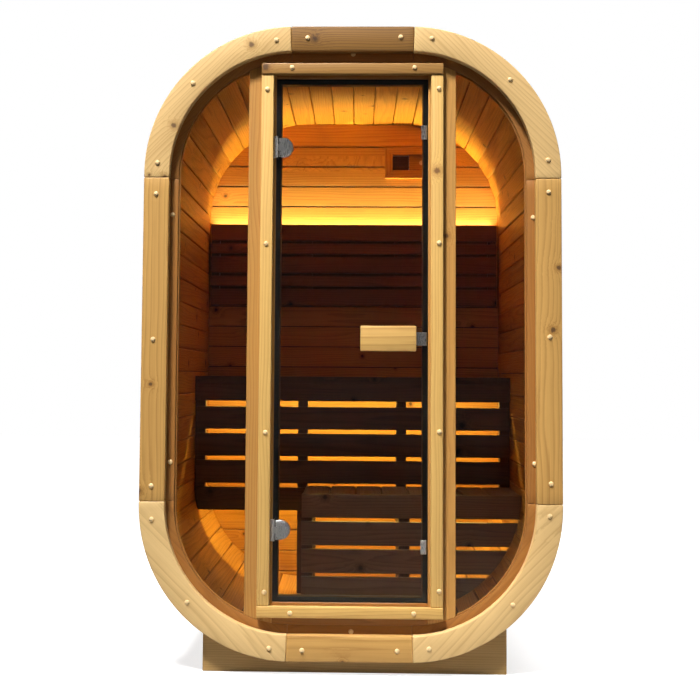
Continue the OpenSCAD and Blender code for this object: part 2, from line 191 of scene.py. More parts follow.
def store(geometry, name, value, kind):
    values = {"Geometry": geometry, "Name": name, "Value": value}
    return add("GeometryNodeStoreNamedAttribute", values, data_type=kind, domain="POINT").outputs[0]


def randomOf(kind, low, high, board, seed):
    made = add("FunctionNodeRandomValue", {"ID": board, "Seed": seed}, data_type=kind)
    for socket, value in zip([s for s in made.inputs if s.enabled], (low, high)):
        plug(socket, value)
    return [s for s in made.outputs if s.enabled][0]


def objectShape(socket):
    return add("GeometryNodeObjectInfo", {"Object": socket}).outputs["Geometry"]


def realize(geometry):
    return add("GeometryNodeRealizeInstances", {"Geometry": geometry}).outputs[0]


def placeUnits(inputs, rotation=None):
    # one unit shape on every point
    values = {"Points": inputs["Geometry"], "Instance": objectShape(inputs["Board"]), "Rotation": rotation}
    return realize(add("GeometryNodeInstanceOnPoints", values).outputs[0])


def placeBoards(inputs):
    # the position in the unit board is kept for later
    return store(placeUnits(inputs), "unit", position(), "FLOAT_VECTOR")


boardLook = {"shiftLow": (-9, -0.1, -0.1), "shiftHigh": (9, 0.1, 0.1), "toneSeed": 7.0}


def finishBoards(inputs, outputs, boards, grain, board):
    # every board gets its own stretch of the figure and its own tone
    shift = randomOf("FLOAT_VECTOR", boardLook["shiftLow"], boardLook["shiftHigh"], board, inputs["Seed"])
    boards = store(boards, "grain", vectorCalc("ADD", grain, shift), "FLOAT_VECTOR")
    tone = randomOf("FLOAT", 0.0, 1.0, board, plus(inputs["Seed"], boardLook["toneSeed"]))
    boards = realize(store(boards, "tone", tone, "FLOAT"))
    made = add("GeometryNodeSetMaterial", {"Geometry": boards, "Material": inputs["Material"]})
    plug(outputs[0], made.outputs[0])


commonInputs = [("Geometry", "Geometry", None), ("Board", "Object", None), ("Material", "Material", None),
                ("Seed", "Int", 1)]
geometryOut = [("Geometry", "Geometry")]


def makeOutlineTree():
    # boards that follow the rounded outline
    tree, inputs, outputs = startTree("boardsOnOutline", "GeometryNodeTree", commonInputs + [
        ("Path", "Object", None), ("Path inset", "Float", 0.0), ("Path length", "Float", 1.0),
        ("Bend x", "Float", 0.1), ("Bend low", "Float", 0.1), ("Bend high", "Float", 1.0),
        ("Grain along depth", "Bool", False),
    ], geometryOut)
    boards = placeBoards(inputs)
    u, w, v = readXyz("unit")
    offU, offW, offV = readXyz("off")
    share = readBetween("start", "end", u)
    values = {"Curves": objectShape(inputs["Path"]), "Factor": calc("FRACT", share)}
    onPath = add("GeometryNodeSampleCurve", values, mode="FACTOR", use_all_curves=True).outputs["Position"]
    pathX, _, pathZ = splitXyz(onPath)
    nearX = clamp(pathX, times(inputs["Bend x"], -1.0), inputs["Bend x"])
    nearZ = clamp(pathZ, inputs["Bend low"], inputs["Bend high"])
    out = vectorCalc("NORMALIZE", joinXyz(minus(pathX, nearX), 0.0, minus(pathZ, nearZ)))
    outX, _, outZ = splitXyz(out)
    along = joinXyz(outZ, 0.0, times(outX, -1.0))
    inset = plus(readBetween("inset0", "inset1", v), offV)
    depth = plus(readBetween("y0", "y1", w), offW)
    outward = vectorCalc("SCALE", out, minus(inputs["Path inset"], inset))
    place = vectorCalc("ADD", onPath, outward)
    place = vectorCalc("ADD", place, vectorCalc("SCALE", along, offU))
    place = vectorCalc("ADD", place, joinXyz(0.0, depth, 0.0))
    boards = moveTo(boards, place)
    # straight grain, turned for each board, or grain along the depth
    x, y, z = splitXyz(position())
    turn = read("turn")
    cosine, sine = calc("COSINE", turn), calc("SINE", turn)
    flat = joinXyz(timesPlus(x, cosine, times(z, sine)), timesPlus(z, cosine, times(x, times(sine, -1.0))), y)
    middle = times(plus(read("start"), read("end")), 0.5)
    across = times(minus(share, middle), inputs["Path length"])
    grain = switch("VECTOR", inputs["Grain along depth"], flat, joinXyz(y, across, inset))
    finishBoards(inputs, outputs, boards, grain, read("board"))
    return tree


def makeRoomTree():
    # boxes whose ends may follow a rounded outline around the cabin's middle
    tree, inputs, outputs = startTree("boardsInRoom", "GeometryNodeTree", commonInputs + [
        ("Half width", "Float", 1.0), ("Half height", "Float", 1.0), ("Radius", "Float", 0.1),
        ("Middle height", "Float", 1.0), ("Upright", "Bool", False), ("Below outline", "Bool", False),
    ], geometryOut)
    boards = placeBoards(inputs)
    u, w, v = readXyz("unit")
    offU, offW, offV = readXyz("off")
    radius, below = inputs["Radius"], inputs["Below outline"]

    def pick(whenLevel, whenUpright):
        return switch("FLOAT", inputs["Upright"], whenLevel, whenUpright)

    halfA = pick(inputs["Half height"], inputs["Half width"])
    halfB = pick(inputs["Half width"], inputs["Half height"])
    a = plus(readBetween("a0", "a1", u), offU)
    past = larger(minus(calc("ABSOLUTE", a), minus(halfA, radius)), 0.0)
    rise = calc("SQRT", larger(minus(times(radius, radius), times(past, past)), 0.0))
    reach = minus(plus(minus(halfB, radius), rise), read("gap"))
    down = times(reach, -1.0)
    b0, b1 = read("b0"), read("b1")
    low = switch("FLOAT", below, larger(b0, down), b0)
    high = switch("FLOAT", below, calc("MINIMUM", b1, reach), down)
    b = plus(between(low, high, v), offV)
    depth = plus(readBetween("y0", "y1", w), offW)
    place = joinXyz(pick(b, a), depth, plus(pick(a, b), inputs["Middle height"]))
    boards = moveTo(boards, place)
    # the pattern starts at each board's own middle
    own = vectorCalc("SUBTRACT", position(), read("middle", "FLOAT_VECTOR"))
    x, y, z = splitXyz(own)
    turned = add("GeometryNodeIndexSwitch", data_type="VECTOR")
    turned.index_switch_items.new()
    plugAll(turned, {"Index": read("axis"), 1: joinXyz(x, z, y), 2: joinXyz(y, x, z), 3: joinXyz(z, x, y)})
    finishBoards(inputs, outputs, boards, turned.outputs[0], read("board"))
    return tree


def makeScatterTree():
    # small turned pieces on points, such as screw covers and screws
    tree, inputs, outputs = startTree("turnedPieces", "GeometryNodeTree", commonInputs, geometryOut)
    twist = randomOf("FLOAT", 0.0, 6.28, add("GeometryNodeInputIndex").outputs[0], inputs["Seed"])
    turn = add("FunctionNodeAxisAngleToRotation", {"Axis": (0, 1, 0), "Angle": twist}).outputs[0]
    made = placeUnits(inputs, turn)
    finishBoards(inputs, outputs, made, position(), read("board"))
    return tree


outlineTree = makeOutlineTree()
roomTree = makeRoomTree()
scatterTree = makeScatterTree()
print("trees built")


# unit shapes and paths


def unitBoard(name, cuts=1, roundness=0.002, steps=1):
    # a box from 0 to 1 with rounded edges; the rounding is kept as a distance in "off"
    turns = [math.pi / 2 * i / steps for i in range(steps + 1)]
    columns = [(0.0, roundness * (1 - math.cos(t)), math.sin(t)) for t in turns]
    columns += [(k / cuts, 0.0, 1.0) for k in range(1, cuts)]
    columns += [(1.0, -roundness * (1 - math.cos(t)), math.sin(t)) for t in reversed(turns)]
    corners = [(0, 0, -1, -1, 180), (1, 0, 1, -1, 270), (1, 1, 1, 1, 0), (0, 1, -1, 1, 90)]
    points, offs, index, rows = [], [], {}, []
    for u, offU, swell in columns:
        row = []
        for w, v, sideW, sideV, first in corners:
            for i in range(steps + 1):
                angle = math.radians(first + 90 * i / steps)
                off = (offU, roundness * (swell * math.cos(angle) - sideW),
                       roundness * (swell * math.sin(angle) - sideV))
                key = (u, w, v) + tuple(round(o, 7) for o in off)
                if key not in index:
                    index[key] = len(points)
                    points.append((u, w, v))
                    offs.append(off)
                row.append(index[key])
        rows.append(row)
    faces = []
    for one, two in zip(rows, rows[1:]):
        for i in range(len(one)):
            j = (i + 1) % len(one)
            face = list(dict.fromkeys([one[i], one[j], two[j], two[i]]))
            if len(face) > 2:
                faces.append(face)
    faces += [list(dict.fromkeys(rows[0]))[::-1], list(dict.fromkeys(rows[-1]))]
    mesh = newMesh(name, points, faces)
    mesh.attributes.new("off", "FLOAT_VECTOR", "POINT").data.foreach_set("vector", [c for o in offs for c in o])
    return addHelper(name, mesh)


def outlinePath(name, inset, quarter=48):
    radius = cabin["corner"] - inset
    points = [(0.0, cabin["high"] - inset)]
    for middleX, middleZ, first in ((bendX, bendHigh, 90), (bendX, bendLow, 0), (-bendX, bendLow, -90),
                                    (-bendX, bendHigh, -180)):
        for i in range(quarter + 1):
            angle = math.radians(first - 90 * i / quarter)
            points.append((middleX + radius * math.cos(angle), middleZ + radius * math.sin(angle)))
    curve = bpy.data.curves.new(name, "CURVE")
    curve.dimensions = "3D"
    spline = curve.splines.new("POLY")
    spline.points.add(len(points) - 1)
    for point, (x, z) in zip(spline.points, points):
        point.co = (x, 0, z, 1)
    spline.use_cyclic_u = True
    return addHelper(name, curve)


def startShape():
    bm = bmesh.new()
    bm.verts.layers.float_vector.new("grain")
    bm.verts.layers.float.new("tone")
    return bm


def skin(bm, loops, closed=False, axis=0, shift=0.0, tone=0.5):
    # faces between loops of points, with the grain kept for wood
    grain, shade = bm.verts.layers.float_vector["grain"], bm.verts.layers.float["tone"]
    made = []
    for loop in loops:
        row = [bm.verts.new(p) for p in loop]
        for v in row:
            along, across = (v.co.z, v.co.x) if axis else (v.co.x, v.co.z)
            v[grain] = (along + shift, across + shift / 9, v.co.y)
            v[shade] = tone
        made.append(row)
    for one, two in list(zip(made, made[1:])) + ([(made[-1], made[0])] if closed else []):
        for i in range(len(one)):
            j = (i + 1) % len(one)
            bm.faces.new((one[i], one[j], two[j], two[i]))
    if not closed:
        bm.faces.new(made[0][::-1])
        bm.faces.new(made[-1])


def plate(bm, outline, ys, bevel, axis=0, shift=0.0, tone=0.5):
    # a flat shape facing the front, its front edge bevelled
    inner = []
    for i, point in enumerate(outline):
        here = Vector(point)
        one = (here - Vector(outline[i - 1])).normalized()
        two = (Vector(outline[(i + 1) % len(outline)]) - here).normalized()
        inOne, inTwo = Vector((-one.y, one.x)), Vector((-two.y, two.x))
        inner.append(here + (inOne + inTwo) * (bevel / (1 + inOne.dot(inTwo))))
    y0, y1 = ys
    loops = [[(x, y, z) for x, z in shape] for shape, y in ((outline, y1), (outline, y0 + bevel), (inner, y0))]
    skin(bm, loops, axis=axis, shift=shift, tone=tone)


def around(middle, half):
    return middle - half, middle + half


def rectangle(x0, x1, z0, z1):
    return [(x0, z0), (x1, z0), (x1, z1), (x0, z1)]


def rod(radius, low, high, edge):
    return [(radius - edge, low), (radius, low + edge), (radius, high - edge), (radius - edge, high)]


def lathe(bm, centre, profile, upright=True, sides=24, closed=False):
    # turned about Z, or about -Y, from (radius, height) pairs
    loops = []
    for radius, height in profile:
        ring = []
        for i in range(sides):
            angle = 2 * math.pi * i / sides
            a, b = radius * math.cos(angle), radius * math.sin(angle)
            offset = (a, b, height) if upright else (a, -height, b)
            ring.append(tuple(c + o for c, o in zip(centre, offset)))
        loops.append(ring)
    skin(bm, loops, closed=closed)


def shapeMesh(name, bm):
    mesh = bpy.data.meshes.new(name)
    bm.to_mesh(mesh)
    bm.free()
    return mesh


def turnedUnit(name, profile, sides=16):
    bm = startShape()
    lathe(bm, (0, 0, 0), profile, upright=False, sides=sides)
    return addHelper(name, shapeMesh(name, bm))


def faceOut(bm):
    # every closed island gets a positive volume
    bmesh.ops.recalc_face_normals(bm, faces=bm.faces)
    seen, inward = set(), []
    for first in bm.faces:
        if first in seen:
            continue
        seen.add(first)
        island, waiting = [], [first]
        while waiting:
            face = waiting.pop()
            island.append(face)
            for other in {f for edge in face.edges for f in edge.link_faces} - seen:
                seen.add(other)
                waiting.append(other)
        corner = first.verts[0].co
        if sum(f.normal.dot(f.calc_center_median() - corner) * f.calc_area() for f in island) < 0:
            inward += island
    bmesh.ops.reverse_faces(bm, faces=inward)


def settle(piece, body, nodes, sharp):
    # plain mesh, faces outwards, smooth up to the sharp angle
    bm = bmesh.new()
    bm.from_mesh(piece.data)
    bmesh.ops.dissolve_degenerate(bm, dist=1e-6, edges=bm.edges)
    faceOut(bm)
    bm.to_mesh(piece.data)
    bm.free()
    piece.data.polygons.foreach_set("use_smooth", [True] * len(piece.data.polygons))
    piece.data.set_sharp_from_angle(angle=math.radians(sharp))
    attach(piece, body)
    if nodes:
        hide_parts(*nodes)


def keepShape(name, bm, material, body, nodes=(), sharp=30):
    mesh = shapeMesh(name, bm)
    mesh.materials.append(material)
    settle(addObject(name, mesh), body, nodes, sharp)


def grow(name, tree, rows, values, body, nodes=(), sharp=40, cutter=None):
    # runs a tree over one point for each row and keeps the result as a mesh
    mesh = newMesh(name + "Points", [row.get("at", (0, 0, 0)) for row in rows])
    for i, row in enumerate(rows):
        row["board"] = row.get("board", i)
    for key in [k for k in rows[0] if k != "at"]:
        if key == "middle":
            flat = [c for row in rows for c in row[key]]
            mesh.attributes.new(key, "FLOAT_VECTOR", "POINT").data.foreach_set("vector", flat)
        else:
            mesh.attributes.new(key, "FLOAT", "POINT").data.foreach_set("value", [float(row[key]) for row in rows])
    source = addObject(name + "Source", mesh)
    modifier = source.modifiers.new("tree", "NODES")
    modifier.node_group = tree
    for item in tree.interface.items_tree:
        if item.in_out == "INPUT" and item.name in values:
            modifier[item.identifier] = values[item.name]
    if cutter:
        source.modifiers.new("hole", "BOOLEAN").object = cutter
    graph = bpy.context.evaluated_depsgraph_get()
    result = bpy.data.meshes.new_from_object(source.evaluated_get(graph), preserve_all_data_layers=True,
                                             depsgraph=graph)
    source.modifiers.clear()
    bpy.data.objects.remove(source)
    result.name = name
    for attribute in list(result.attributes):
        if attribute.name in ("off", "unit") or attribute.name in rows[0]:
            result.attributes.remove(attribute)
    settle(addObject(name, result), body, nodes, sharp)


def outlineRow(start, end, ys, insets, turn=0.0):
    # a board along the outline; start and end are shares of the path
    return {"start": start, "end": end, "y0": ys[0], "y1": ys[1], "inset0": insets[0], "inset1": insets[1],
            "turn": turn}


def onOutline(name, rows, unit, material, seed, nodes=(), deepGrain=False, sharp=40):
    grow(name, outlineTree, rows, {
        "Board": unit, "Material": material, "Seed": seed, "Path": shellPath, "Path inset": staveIn,
        "Path length": pathLength, "Bend x": bendX, "Bend low": bendLow, "Bend high": bendHigh,
        "Grain along depth": deepGrain}, "cabin", nodes, sharp)


def boardRow(xs, ys, zs, axis, gap=-9.0, upright=False, board=None):
    # a box from its limits, as the room tree reads it; gap is its distance from the outline
    heights = [z - midZ for z in zs]
    (a0, a1), (b0, b1) = (xs, heights) if upright else (heights, xs)
    row = {"a0": a0, "a1": a1, "b0": b0, "b1": b1, "y0": ys[0], "y1": ys[1], "gap": gap, "axis": axis,
           "middle": [sum(limits) / 2 for limits in (xs, ys, zs)]}
    if board is not None:
        row["board"] = board
    return row


def uprightRow(xs, ys, zs, axis, board=None):
    return boardRow(xs, ys, zs, axis, gap=0.0, upright=True, board=board)


def inRoom(name, rows, unit, material, seed, slot, nodes=(), inset=staveIn, upright=False, below=False,
           body="cabin", sharp=40, cutter=None):
    grow(name, roomTree, rows, {
        "Board": unit, "Material": material, "Seed": seed, "Half width": cabin["half"] - inset,
        "Half height": (cabin["high"] - cabin["low"]) / 2 - inset, "Radius": cabin["corner"] - inset,
        "Middle height": midZ, "Upright": upright, "Below outline": below}, body, nodes, sharp, cutter)


def scatter(name, places, unit, material, seed, body):
    grow(name, scatterTree, [{"at": place} for place in places],
         {"Board": unit, "Material": material, "Seed": seed}, body)


shellPath = outlinePath("shellPath", staveIn)
plainBoard = unitBoard("plainBoard", roundness=0.0015)
softBoard = unitBoard("softBoard", roundness=0.003, steps=3)
tallBoard = unitBoard("tallBoard", cuts=8, roundness=0.0016)
groovedBoard = unitBoard("groovedBoard", cuts=8, roundness=0.0024)
staveBoard = unitBoard("staveBoard", roundness=0.003)
ringBoard = unitBoard("ringBoard", cuts=28, roundness=0.0035, steps=3)
lipBoard = unitBoard("lipBoard", cuts=28, roundness=0.002, steps=2)
print("unit shapes built")


# materials

sawn = {"cells": (5.5, 9.0, 0.0), "knotLeast": 0.005, "knotMore": 0.009, "halo": 0.55, "swing": 0.05, "sway": 0.055,
        "uneven": 3.0, "clouds": 0.7, "ground": 0.22, "ringStops": ((0.55, 0.3), (0.84, 1.0)), "rough": (0.42, 0.62),
        "fibreHeight": 0.6, "ringHeight": 0.25}


def makeFigureGroup():
    # the figure of sawn wood: growth rings about a heart line, fibres, clouds and knots
    tree, inputs, outputs = startTree("woodFigure", "ShaderNodeTree", [
        ("Grain", "Vector", None), ("Tone", "Float", 0.5), ("Pale", "Color", None), ("Deep", "Color", None),
        ("Knot", "Color", None), ("Rings", "Float", 150.0), ("Ring depth", "Float", 0.4),
        ("Fibre depth", "Float", 0.3), ("Tone depth", "Float", 0.3), ("Knots", "Float", 0.1),
    ], [("Color", "Color"), ("Roughness", "Float"), ("Height", "Float")])
    grain = inputs["Grain"]

    def noise(stretch, detail, rough=0.5):
        place = vectorCalc("MULTIPLY", grain, stretch)
        values = {"Vector": place, "Scale": 1.0, "Detail": detail, "Roughness": rough}
        return add("ShaderNodeTexNoise", values).outputs

    # knots run through the board; the rings swing round them
    cells = sawn["cells"]
    spots = vectorCalc("MULTIPLY", grain, cells)
    cell = add("ShaderNodeTexVoronoi", {"Vector": spots, "Scale": 1.0}, voronoi_dimensions="2D").outputs
    away = vectorCalc("SUBTRACT", spots, cell["Position"])
    away = vectorCalc("MULTIPLY", away, (1 / cells[0], 1 / cells[1], 0.0))
    chance, size, _ = splitXyz(cell["Color"])
    picked = calc("GREATER_THAN", inputs["Knots"], chance)
    radius = timesPlus(size, sawn["knotMore"], sawn["knotLeast"])
    ragged = timesPlus(noise((90.0, 130.0, 130.0), 2.0)["Fac"], 1.2, 0.4)
    near = times(calc("DIVIDE", vectorCalc("LENGTH", away), radius), ragged)
    knot = times(remap(near, 0.45, 1.15, 1.0, 0.0, kind="SMOOTHSTEP"), picked)
    halo = times(remap(near, 0.8, 2.6, 1.0, 0.0, kind="SMOOTHSTEP"), picked)
    swing = calc("DIVIDE", times(picked, sawn["swing"]), timesPlus(near, near, 1.0))
    sway = vectorCalc("SUBTRACT", noise((1.1, 5.0, 5.0), 2.0)["Color"], (0.5, 0.5, 0.5))
    _, y, z = splitXyz(vectorCalc("ADD", grain, vectorCalc("SCALE", sway, sawn["sway"])))
    heart = plus(calc("SQRT", plus(times(y, y), times(z, z))), swing)
    uneven = times(noise((0.4, 26.0, 26.0), 2.0)["Fac"], sawn["uneven"])
    ramp = add("ShaderNodeValToRGB", {0: calc("FRACT", timesPlus(heart, inputs["Rings"], uneven))})
    stops = ramp.color_ramp.elements
    stops[0].color, stops[1].color = (0, 0, 0, 1), (0, 0, 0, 1)
    for place, level in sawn["ringStops"]:
        stops.new(place).color = (level, level, level, 1)
    ring = ramp.outputs[0]
    fibre = noise((5.0, 320.0, 320.0), 3.0, 0.6)["Fac"]
    cloud = noise((1.3, 9.0, 9.0), 3.0)["Fac"]
    mix = times(ring, inputs["Ring depth"])
    for value, depth in ((fibre, inputs["Fibre depth"]), (cloud, sawn["clouds"]),
                         (inputs["Tone"], inputs["Tone depth"])):
        mix = timesPlus(minus(value, 0.5), depth, mix)
    mix = plus(plus(mix, times(halo, sawn["halo"])), sawn["ground"])

    def blend(share, one, two):
        return add("ShaderNodeMix", {0: share, 6: one, 7: two}, data_type="RGBA").outputs[2]

    plain = blend(clamp(mix), inputs["Pale"], inputs["Deep"])
    plug(outputs["Color"], blend(knot, plain, inputs["Knot"]))
    plug(outputs["Roughness"], remap(fibre, 0.2, 0.8, *sawn["rough"]))
    height = timesPlus(fibre, sawn["fibreHeight"], times(ring, sawn["ringHeight"]))
    plug(outputs["Height"], height)
    return tree


figureGroup = makeFigureGroup()


def startMaterial(name):
    material = bpy.data.materials.new(name)
    material.use_nodes = True
    current["tree"] = material.node_tree
    return material, material.node_tree.nodes["Principled BSDF"]


def setSurface(material, shader):
    plug(material.node_tree.nodes["Material Output"].inputs["Surface"], shader.outputs[0])


def objectPlace():
    return add("ShaderNodeTexCoord").outputs["Object"]


def makeWood(name, pale, deep, knot, rings=150.0, ringDepth=0.4, fibreDepth=0.5, toneDepth=0.3, knots=0.1, bump=0.15):
    material, surface = startMaterial(name)
    figure = add("ShaderNodeGroup", {
        "Grain": add("ShaderNodeAttribute", attribute_name="grain").outputs["Vector"],
        "Tone": add("ShaderNodeAttribute", attribute_name="tone").outputs["Fac"],
        "Pale": (*pale, 1), "Deep": (*deep, 1), "Knot": (*knot, 1), "Rings": rings, "Ring depth": ringDepth,
        "Fibre depth": fibreDepth, "Tone depth": toneDepth, "Knots": knots}, node_tree=figureGroup).outputs
    lift = add("ShaderNodeBump", {"Strength": bump, "Distance": 0.002, "Height": figure["Height"]})
    plugAll(surface, {"Base Color": figure["Color"], "Roughness": figure["Roughness"],
                      "Normal": lift.outputs[0], "Specular IOR Level": 0.35})
    return material


# pale wood, deep wood, knots
ringPine = makeWood("ringPine", (0.60, 0.345, 0.098), (0.35, 0.172, 0.04), (0.12, 0.055, 0.018), rings=85,
                    ringDepth=0.55, knots=0.32)
cornerPine = makeWood("cornerPine", (0.70, 0.47, 0.20), (0.46, 0.275, 0.095), (0.16, 0.085, 0.035), rings=85,
                      ringDepth=0.5, knots=0.28)
topPine = makeWood("topPine", (0.25, 0.118, 0.022), (0.10, 0.042, 0.008), (0.06, 0.026, 0.008), rings=120,
                   ringDepth=0.75, knots=0.2)
casingPine = makeWood("casingPine", (0.68, 0.42, 0.125), (0.45, 0.24, 0.06), (0.18, 0.08, 0.022), rings=120,
                      ringDepth=0.5, knots=0.25)
headPine = makeWood("headPine", (0.36, 0.185, 0.045), (0.22, 0.10, 0.022), (0.09, 0.04, 0.012), rings=120,
                    ringDepth=0.5, knots=0.3)
jambPine = makeWood("jambPine", (0.50, 0.25, 0.06), (0.31, 0.135, 0.026), (0.13, 0.055, 0.014), rings=130,
                    ringDepth=0.5)
framePine = makeWood("framePine", (0.35, 0.145, 0.028), (0.21, 0.075, 0.014), (0.08, 0.03, 0.008), knots=0.08)
# the door stop's wood is darkened to stand for the shade in the door frame's rebate: painted shade
stopPinePaintedShade = makeWood("stopPinePaintedShade", (0.12, 0.055, 0.018), (0.07, 0.03, 0.01), (0.03, 0.014, 0.005), knots=0.0)
jointWood = makeWood("jointWood", (0.05, 0.021, 0.008), (0.03, 0.012, 0.005), (0.02, 0.008, 0.004), knots=0.0)
cedarStaves = makeWood("cedarStaves", (0.58, 0.26, 0.055), (0.29, 0.105, 0.02), (0.08, 0.028, 0.008), rings=110,
                       ringDepth=0.5, toneDepth=0.6, knots=0.26)
handleWood = makeWood("handleWood", (0.66, 0.41, 0.125), (0.38, 0.19, 0.048), (0.3, 0.14, 0.04), rings=34,
                      ringDepth=0.6, knots=0.0)
# the cradle's wood is made paler to stand for the key light that reaches it below the ring: painted light
cradlePinePaintedLight = makeWood("cradlePinePaintedLight", (0.52, 0.32, 0.11), (0.30, 0.165, 0.048), (0.10, 0.05, 0.02), rings=120,
                      knots=0.25)
coverWood = makeWood("coverWood", (0.80, 0.58, 0.30), (0.64, 0.42, 0.18), (0.4, 0.2, 0.07), rings=200, knots=0.0)
baked = {"rings": 110, "ringDepth": 0.5, "knots": 0.2, "bump": 0.05}  # dark wood of the benches
darkWood = makeWood("darkWood", (0.12, 0.058, 0.036), (0.05, 0.024, 0.015), (0.016, 0.008, 0.006), **baked)
restWood = makeWood("restWood", (0.185, 0.07, 0.033), (0.085, 0.03, 0.015), (0.025, 0.01, 0.006), **baked)
stepWood = makeWood("stepWood", (0.24, 0.135, 0.08), (0.105, 0.055, 0.034), (0.03, 0.016, 0.01), **baked)


def makeGlass():
    material, surface = startMaterial("clearGlass")
    plugAll(surface, {"Base Color": (0.95, 0.97, 0.96, 1), "Roughness": 0.0, "IOR": 1.5, "Transmission Weight": 1.0})
    # lamps reach the room through the panes
    clear = add("ShaderNodeBsdfTransparent", {"Color": (0.10, 0.09, 0.08, 1)})
    shadow = add("ShaderNodeLightPath").outputs["Is Shadow Ray"]
    mixed = add("ShaderNodeMixShader", {0: shadow, 1: surface.outputs[0], 2: clear.outputs[0]})
    setSurface(material, mixed)
    return material


def makeSteel():
    material, surface = startMaterial("hingeSteel")
    place = vectorCalc("MULTIPLY", objectPlace(), (900.0, 900.0, 60.0))
    brushed = add("ShaderNodeTexNoise", {"Vector": place, "Scale": 1.0, "Detail": 2.0}).outputs["Fac"]
    plugAll(surface, {"Base Color": (0.74, 0.73, 0.71, 1), "Metallic": 1.0,
                      "Roughness": remap(brushed, 0.3, 0.7, 0.24, 0.34)})
    return material


def makeRubber():
    material, surface = startMaterial("sealRubber")
    speck = add("ShaderNodeTexNoise", {"Vector": objectPlace(), "Scale": 900.0, "Detail": 2.0}).outputs["Fac"]
    plugAll(surface, {"Base Color": remap(speck, 0.2, 0.8, 0.010, 0.018),
                      "Roughness": remap(speck, 0.3, 0.7, 0.5, 0.75)})
    return material


def makeGlow():
    material, surface = startMaterial("warmLight")
    wave = calc("SINE", times(splitXyz(objectPlace())[0], 377.0))
    tint = vectorCalc("SCALE", (1.0, 0.70, 0.20), timesPlus(wave, 0.1, 0.9))
    plugAll(surface, {"Base Color": (0.9, 0.75, 0.5, 1), "Roughness": 0.4, "Emission Color": tint,
                      "Emission Strength": 1.2})
    return material


clearGlass, hingeSteel, sealRubber, warmLight = makeGlass(), makeSteel(), makeRubber(), makeGlow()
print("materials built")


# trim rings

rings = {"gap": 0.0006, "sideJoint": 0.013, "endJoint": 0.0105, "turns": (0, -45, 90, 45, 0, -45, 90, 45),
         "topSeed": 11, "seed": 3, "cornerSeed": 9, "backSeed": 5, "backCornerSeed": 7}


def ringRows(ys, insets, gap):
    # eight boards from the top one round to the right; their joints lie a little past the bends
    run, past = rings["sideJoint"], rings["endJoint"]
    quarter, side = pathRadius * math.pi / 2, bendHigh - bendLow
    stops = [-(bendX + past), bendX + past, bendX + quarter + run, bendX + quarter + side - run,
             bendX + 2 * quarter + side - past, 3 * bendX + 2 * quarter + side + past,
             3 * bendX + 3 * quarter + side + run, 3 * bendX + 3 * quarter + 2 * side - run,
             3 * bendX + 4 * quarter + 2 * side - past]
    return [outlineRow((a + gap / 2) / pathLength, (b - gap / 2) / pathLength, ys, insets, math.radians(turn))
            for a, b, turn in zip(stops, stops[1:], rings["turns"])]


rows = ringRows((cabin["front"], shellFront), (0.0, cabin["ringWide"]), rings["gap"])
onOutline("frontRingTop", rows[:1], ringBoard, topPine, rings["topSeed"], ["front_ring_top"])
onOutline("frontRing", rows[2::2], ringBoard, ringPine, rings["seed"],
          nodes=["front_ring_bottom", "front_ring_sides"])
onOutline("frontCorners", rows[1::2], ringBoard, cornerPine, rings["cornerSeed"],
          nodes=["front_ring_upper_corners", "front_ring_lower_corners"])
rows = ringRows((shellBack, cabin["back"]), (0.0, cabin["ringWide"]), rings["gap"])
onOutline("backRing", rows[0::2], ringBoard, ringPine, rings["backSeed"], nodes=["back_ring_boards"])
onOutline("backCorners", rows[1::2], ringBoard, cornerPine, rings["backCornerSeed"], nodes=["back_ring_corners"])
print("rings built")

# shell and back wall

shell = {"staves": 67, "gap": 0.003, "seed": 21}
tongue = {"wide": 0.009, "deep": 0.012, "inset": 0.033, "seed": 23, "backY": (0.628, 0.640), "backSeed": 33}
shellY = (shellFront, shellBack)
gapShare, tongueShare = shell["gap"] / pathLength / 2, tongue["wide"] / pathLength / 2
staveRows, tongueRows = [], []
for i in range(shell["staves"]):
    start, end = i / shell["staves"], (i + 1) / shell["staves"]
    staveRows.append(outlineRow(start + gapShare, end - gapShare, shellY, (cabin["staveOut"], staveIn)))
    tongueRows.append(outlineRow(start - tongueShare, start + tongueShare, shellY,
                                 (tongue["inset"], tongue["inset"] + tongue["deep"])))
onOutline("shellStaves", staveRows, staveBoard, cedarStaves, shell["seed"],
          ["wall_left", "wall_right", "ceiling", "floor", "shell_upper_corners", "shell_lower_corners"],
          deepGrain=True, sharp=4)
onOutline("shellTongues", tongueRows, plainBoard, jointWood, tongue["seed"], deepGrain=True)

backBoards = {"firstJoint": 0.1313, "pitch": 0.08803, "gap": 0.0036, "ease": 0.0005, "leastTop": 0.05, "seed": 31,
              "hole": (0.170, 0.242, 1.874, 1.942), "holeY": (0.55, 0.75)}
roomHigh = cabin["high"] - staveIn
joints = [cabin["low"] + staveIn + backBoards["ease"]]
while joints[-1] < roomHigh - backBoards["leastTop"]:
    joints.append(backBoards["firstJoint"] + backBoards["pitch"] * (len(joints) - 1))
joints[-1] = roomHigh - backBoards["ease"]
halfGap = backBoards["gap"] / 2
backRows = [boardRow(wallToWall, (backFace, shellBack), (z0 + halfGap, z1 - halfGap), 0, gap=0.0)
            for z0, z1 in zip(joints, joints[1:])]
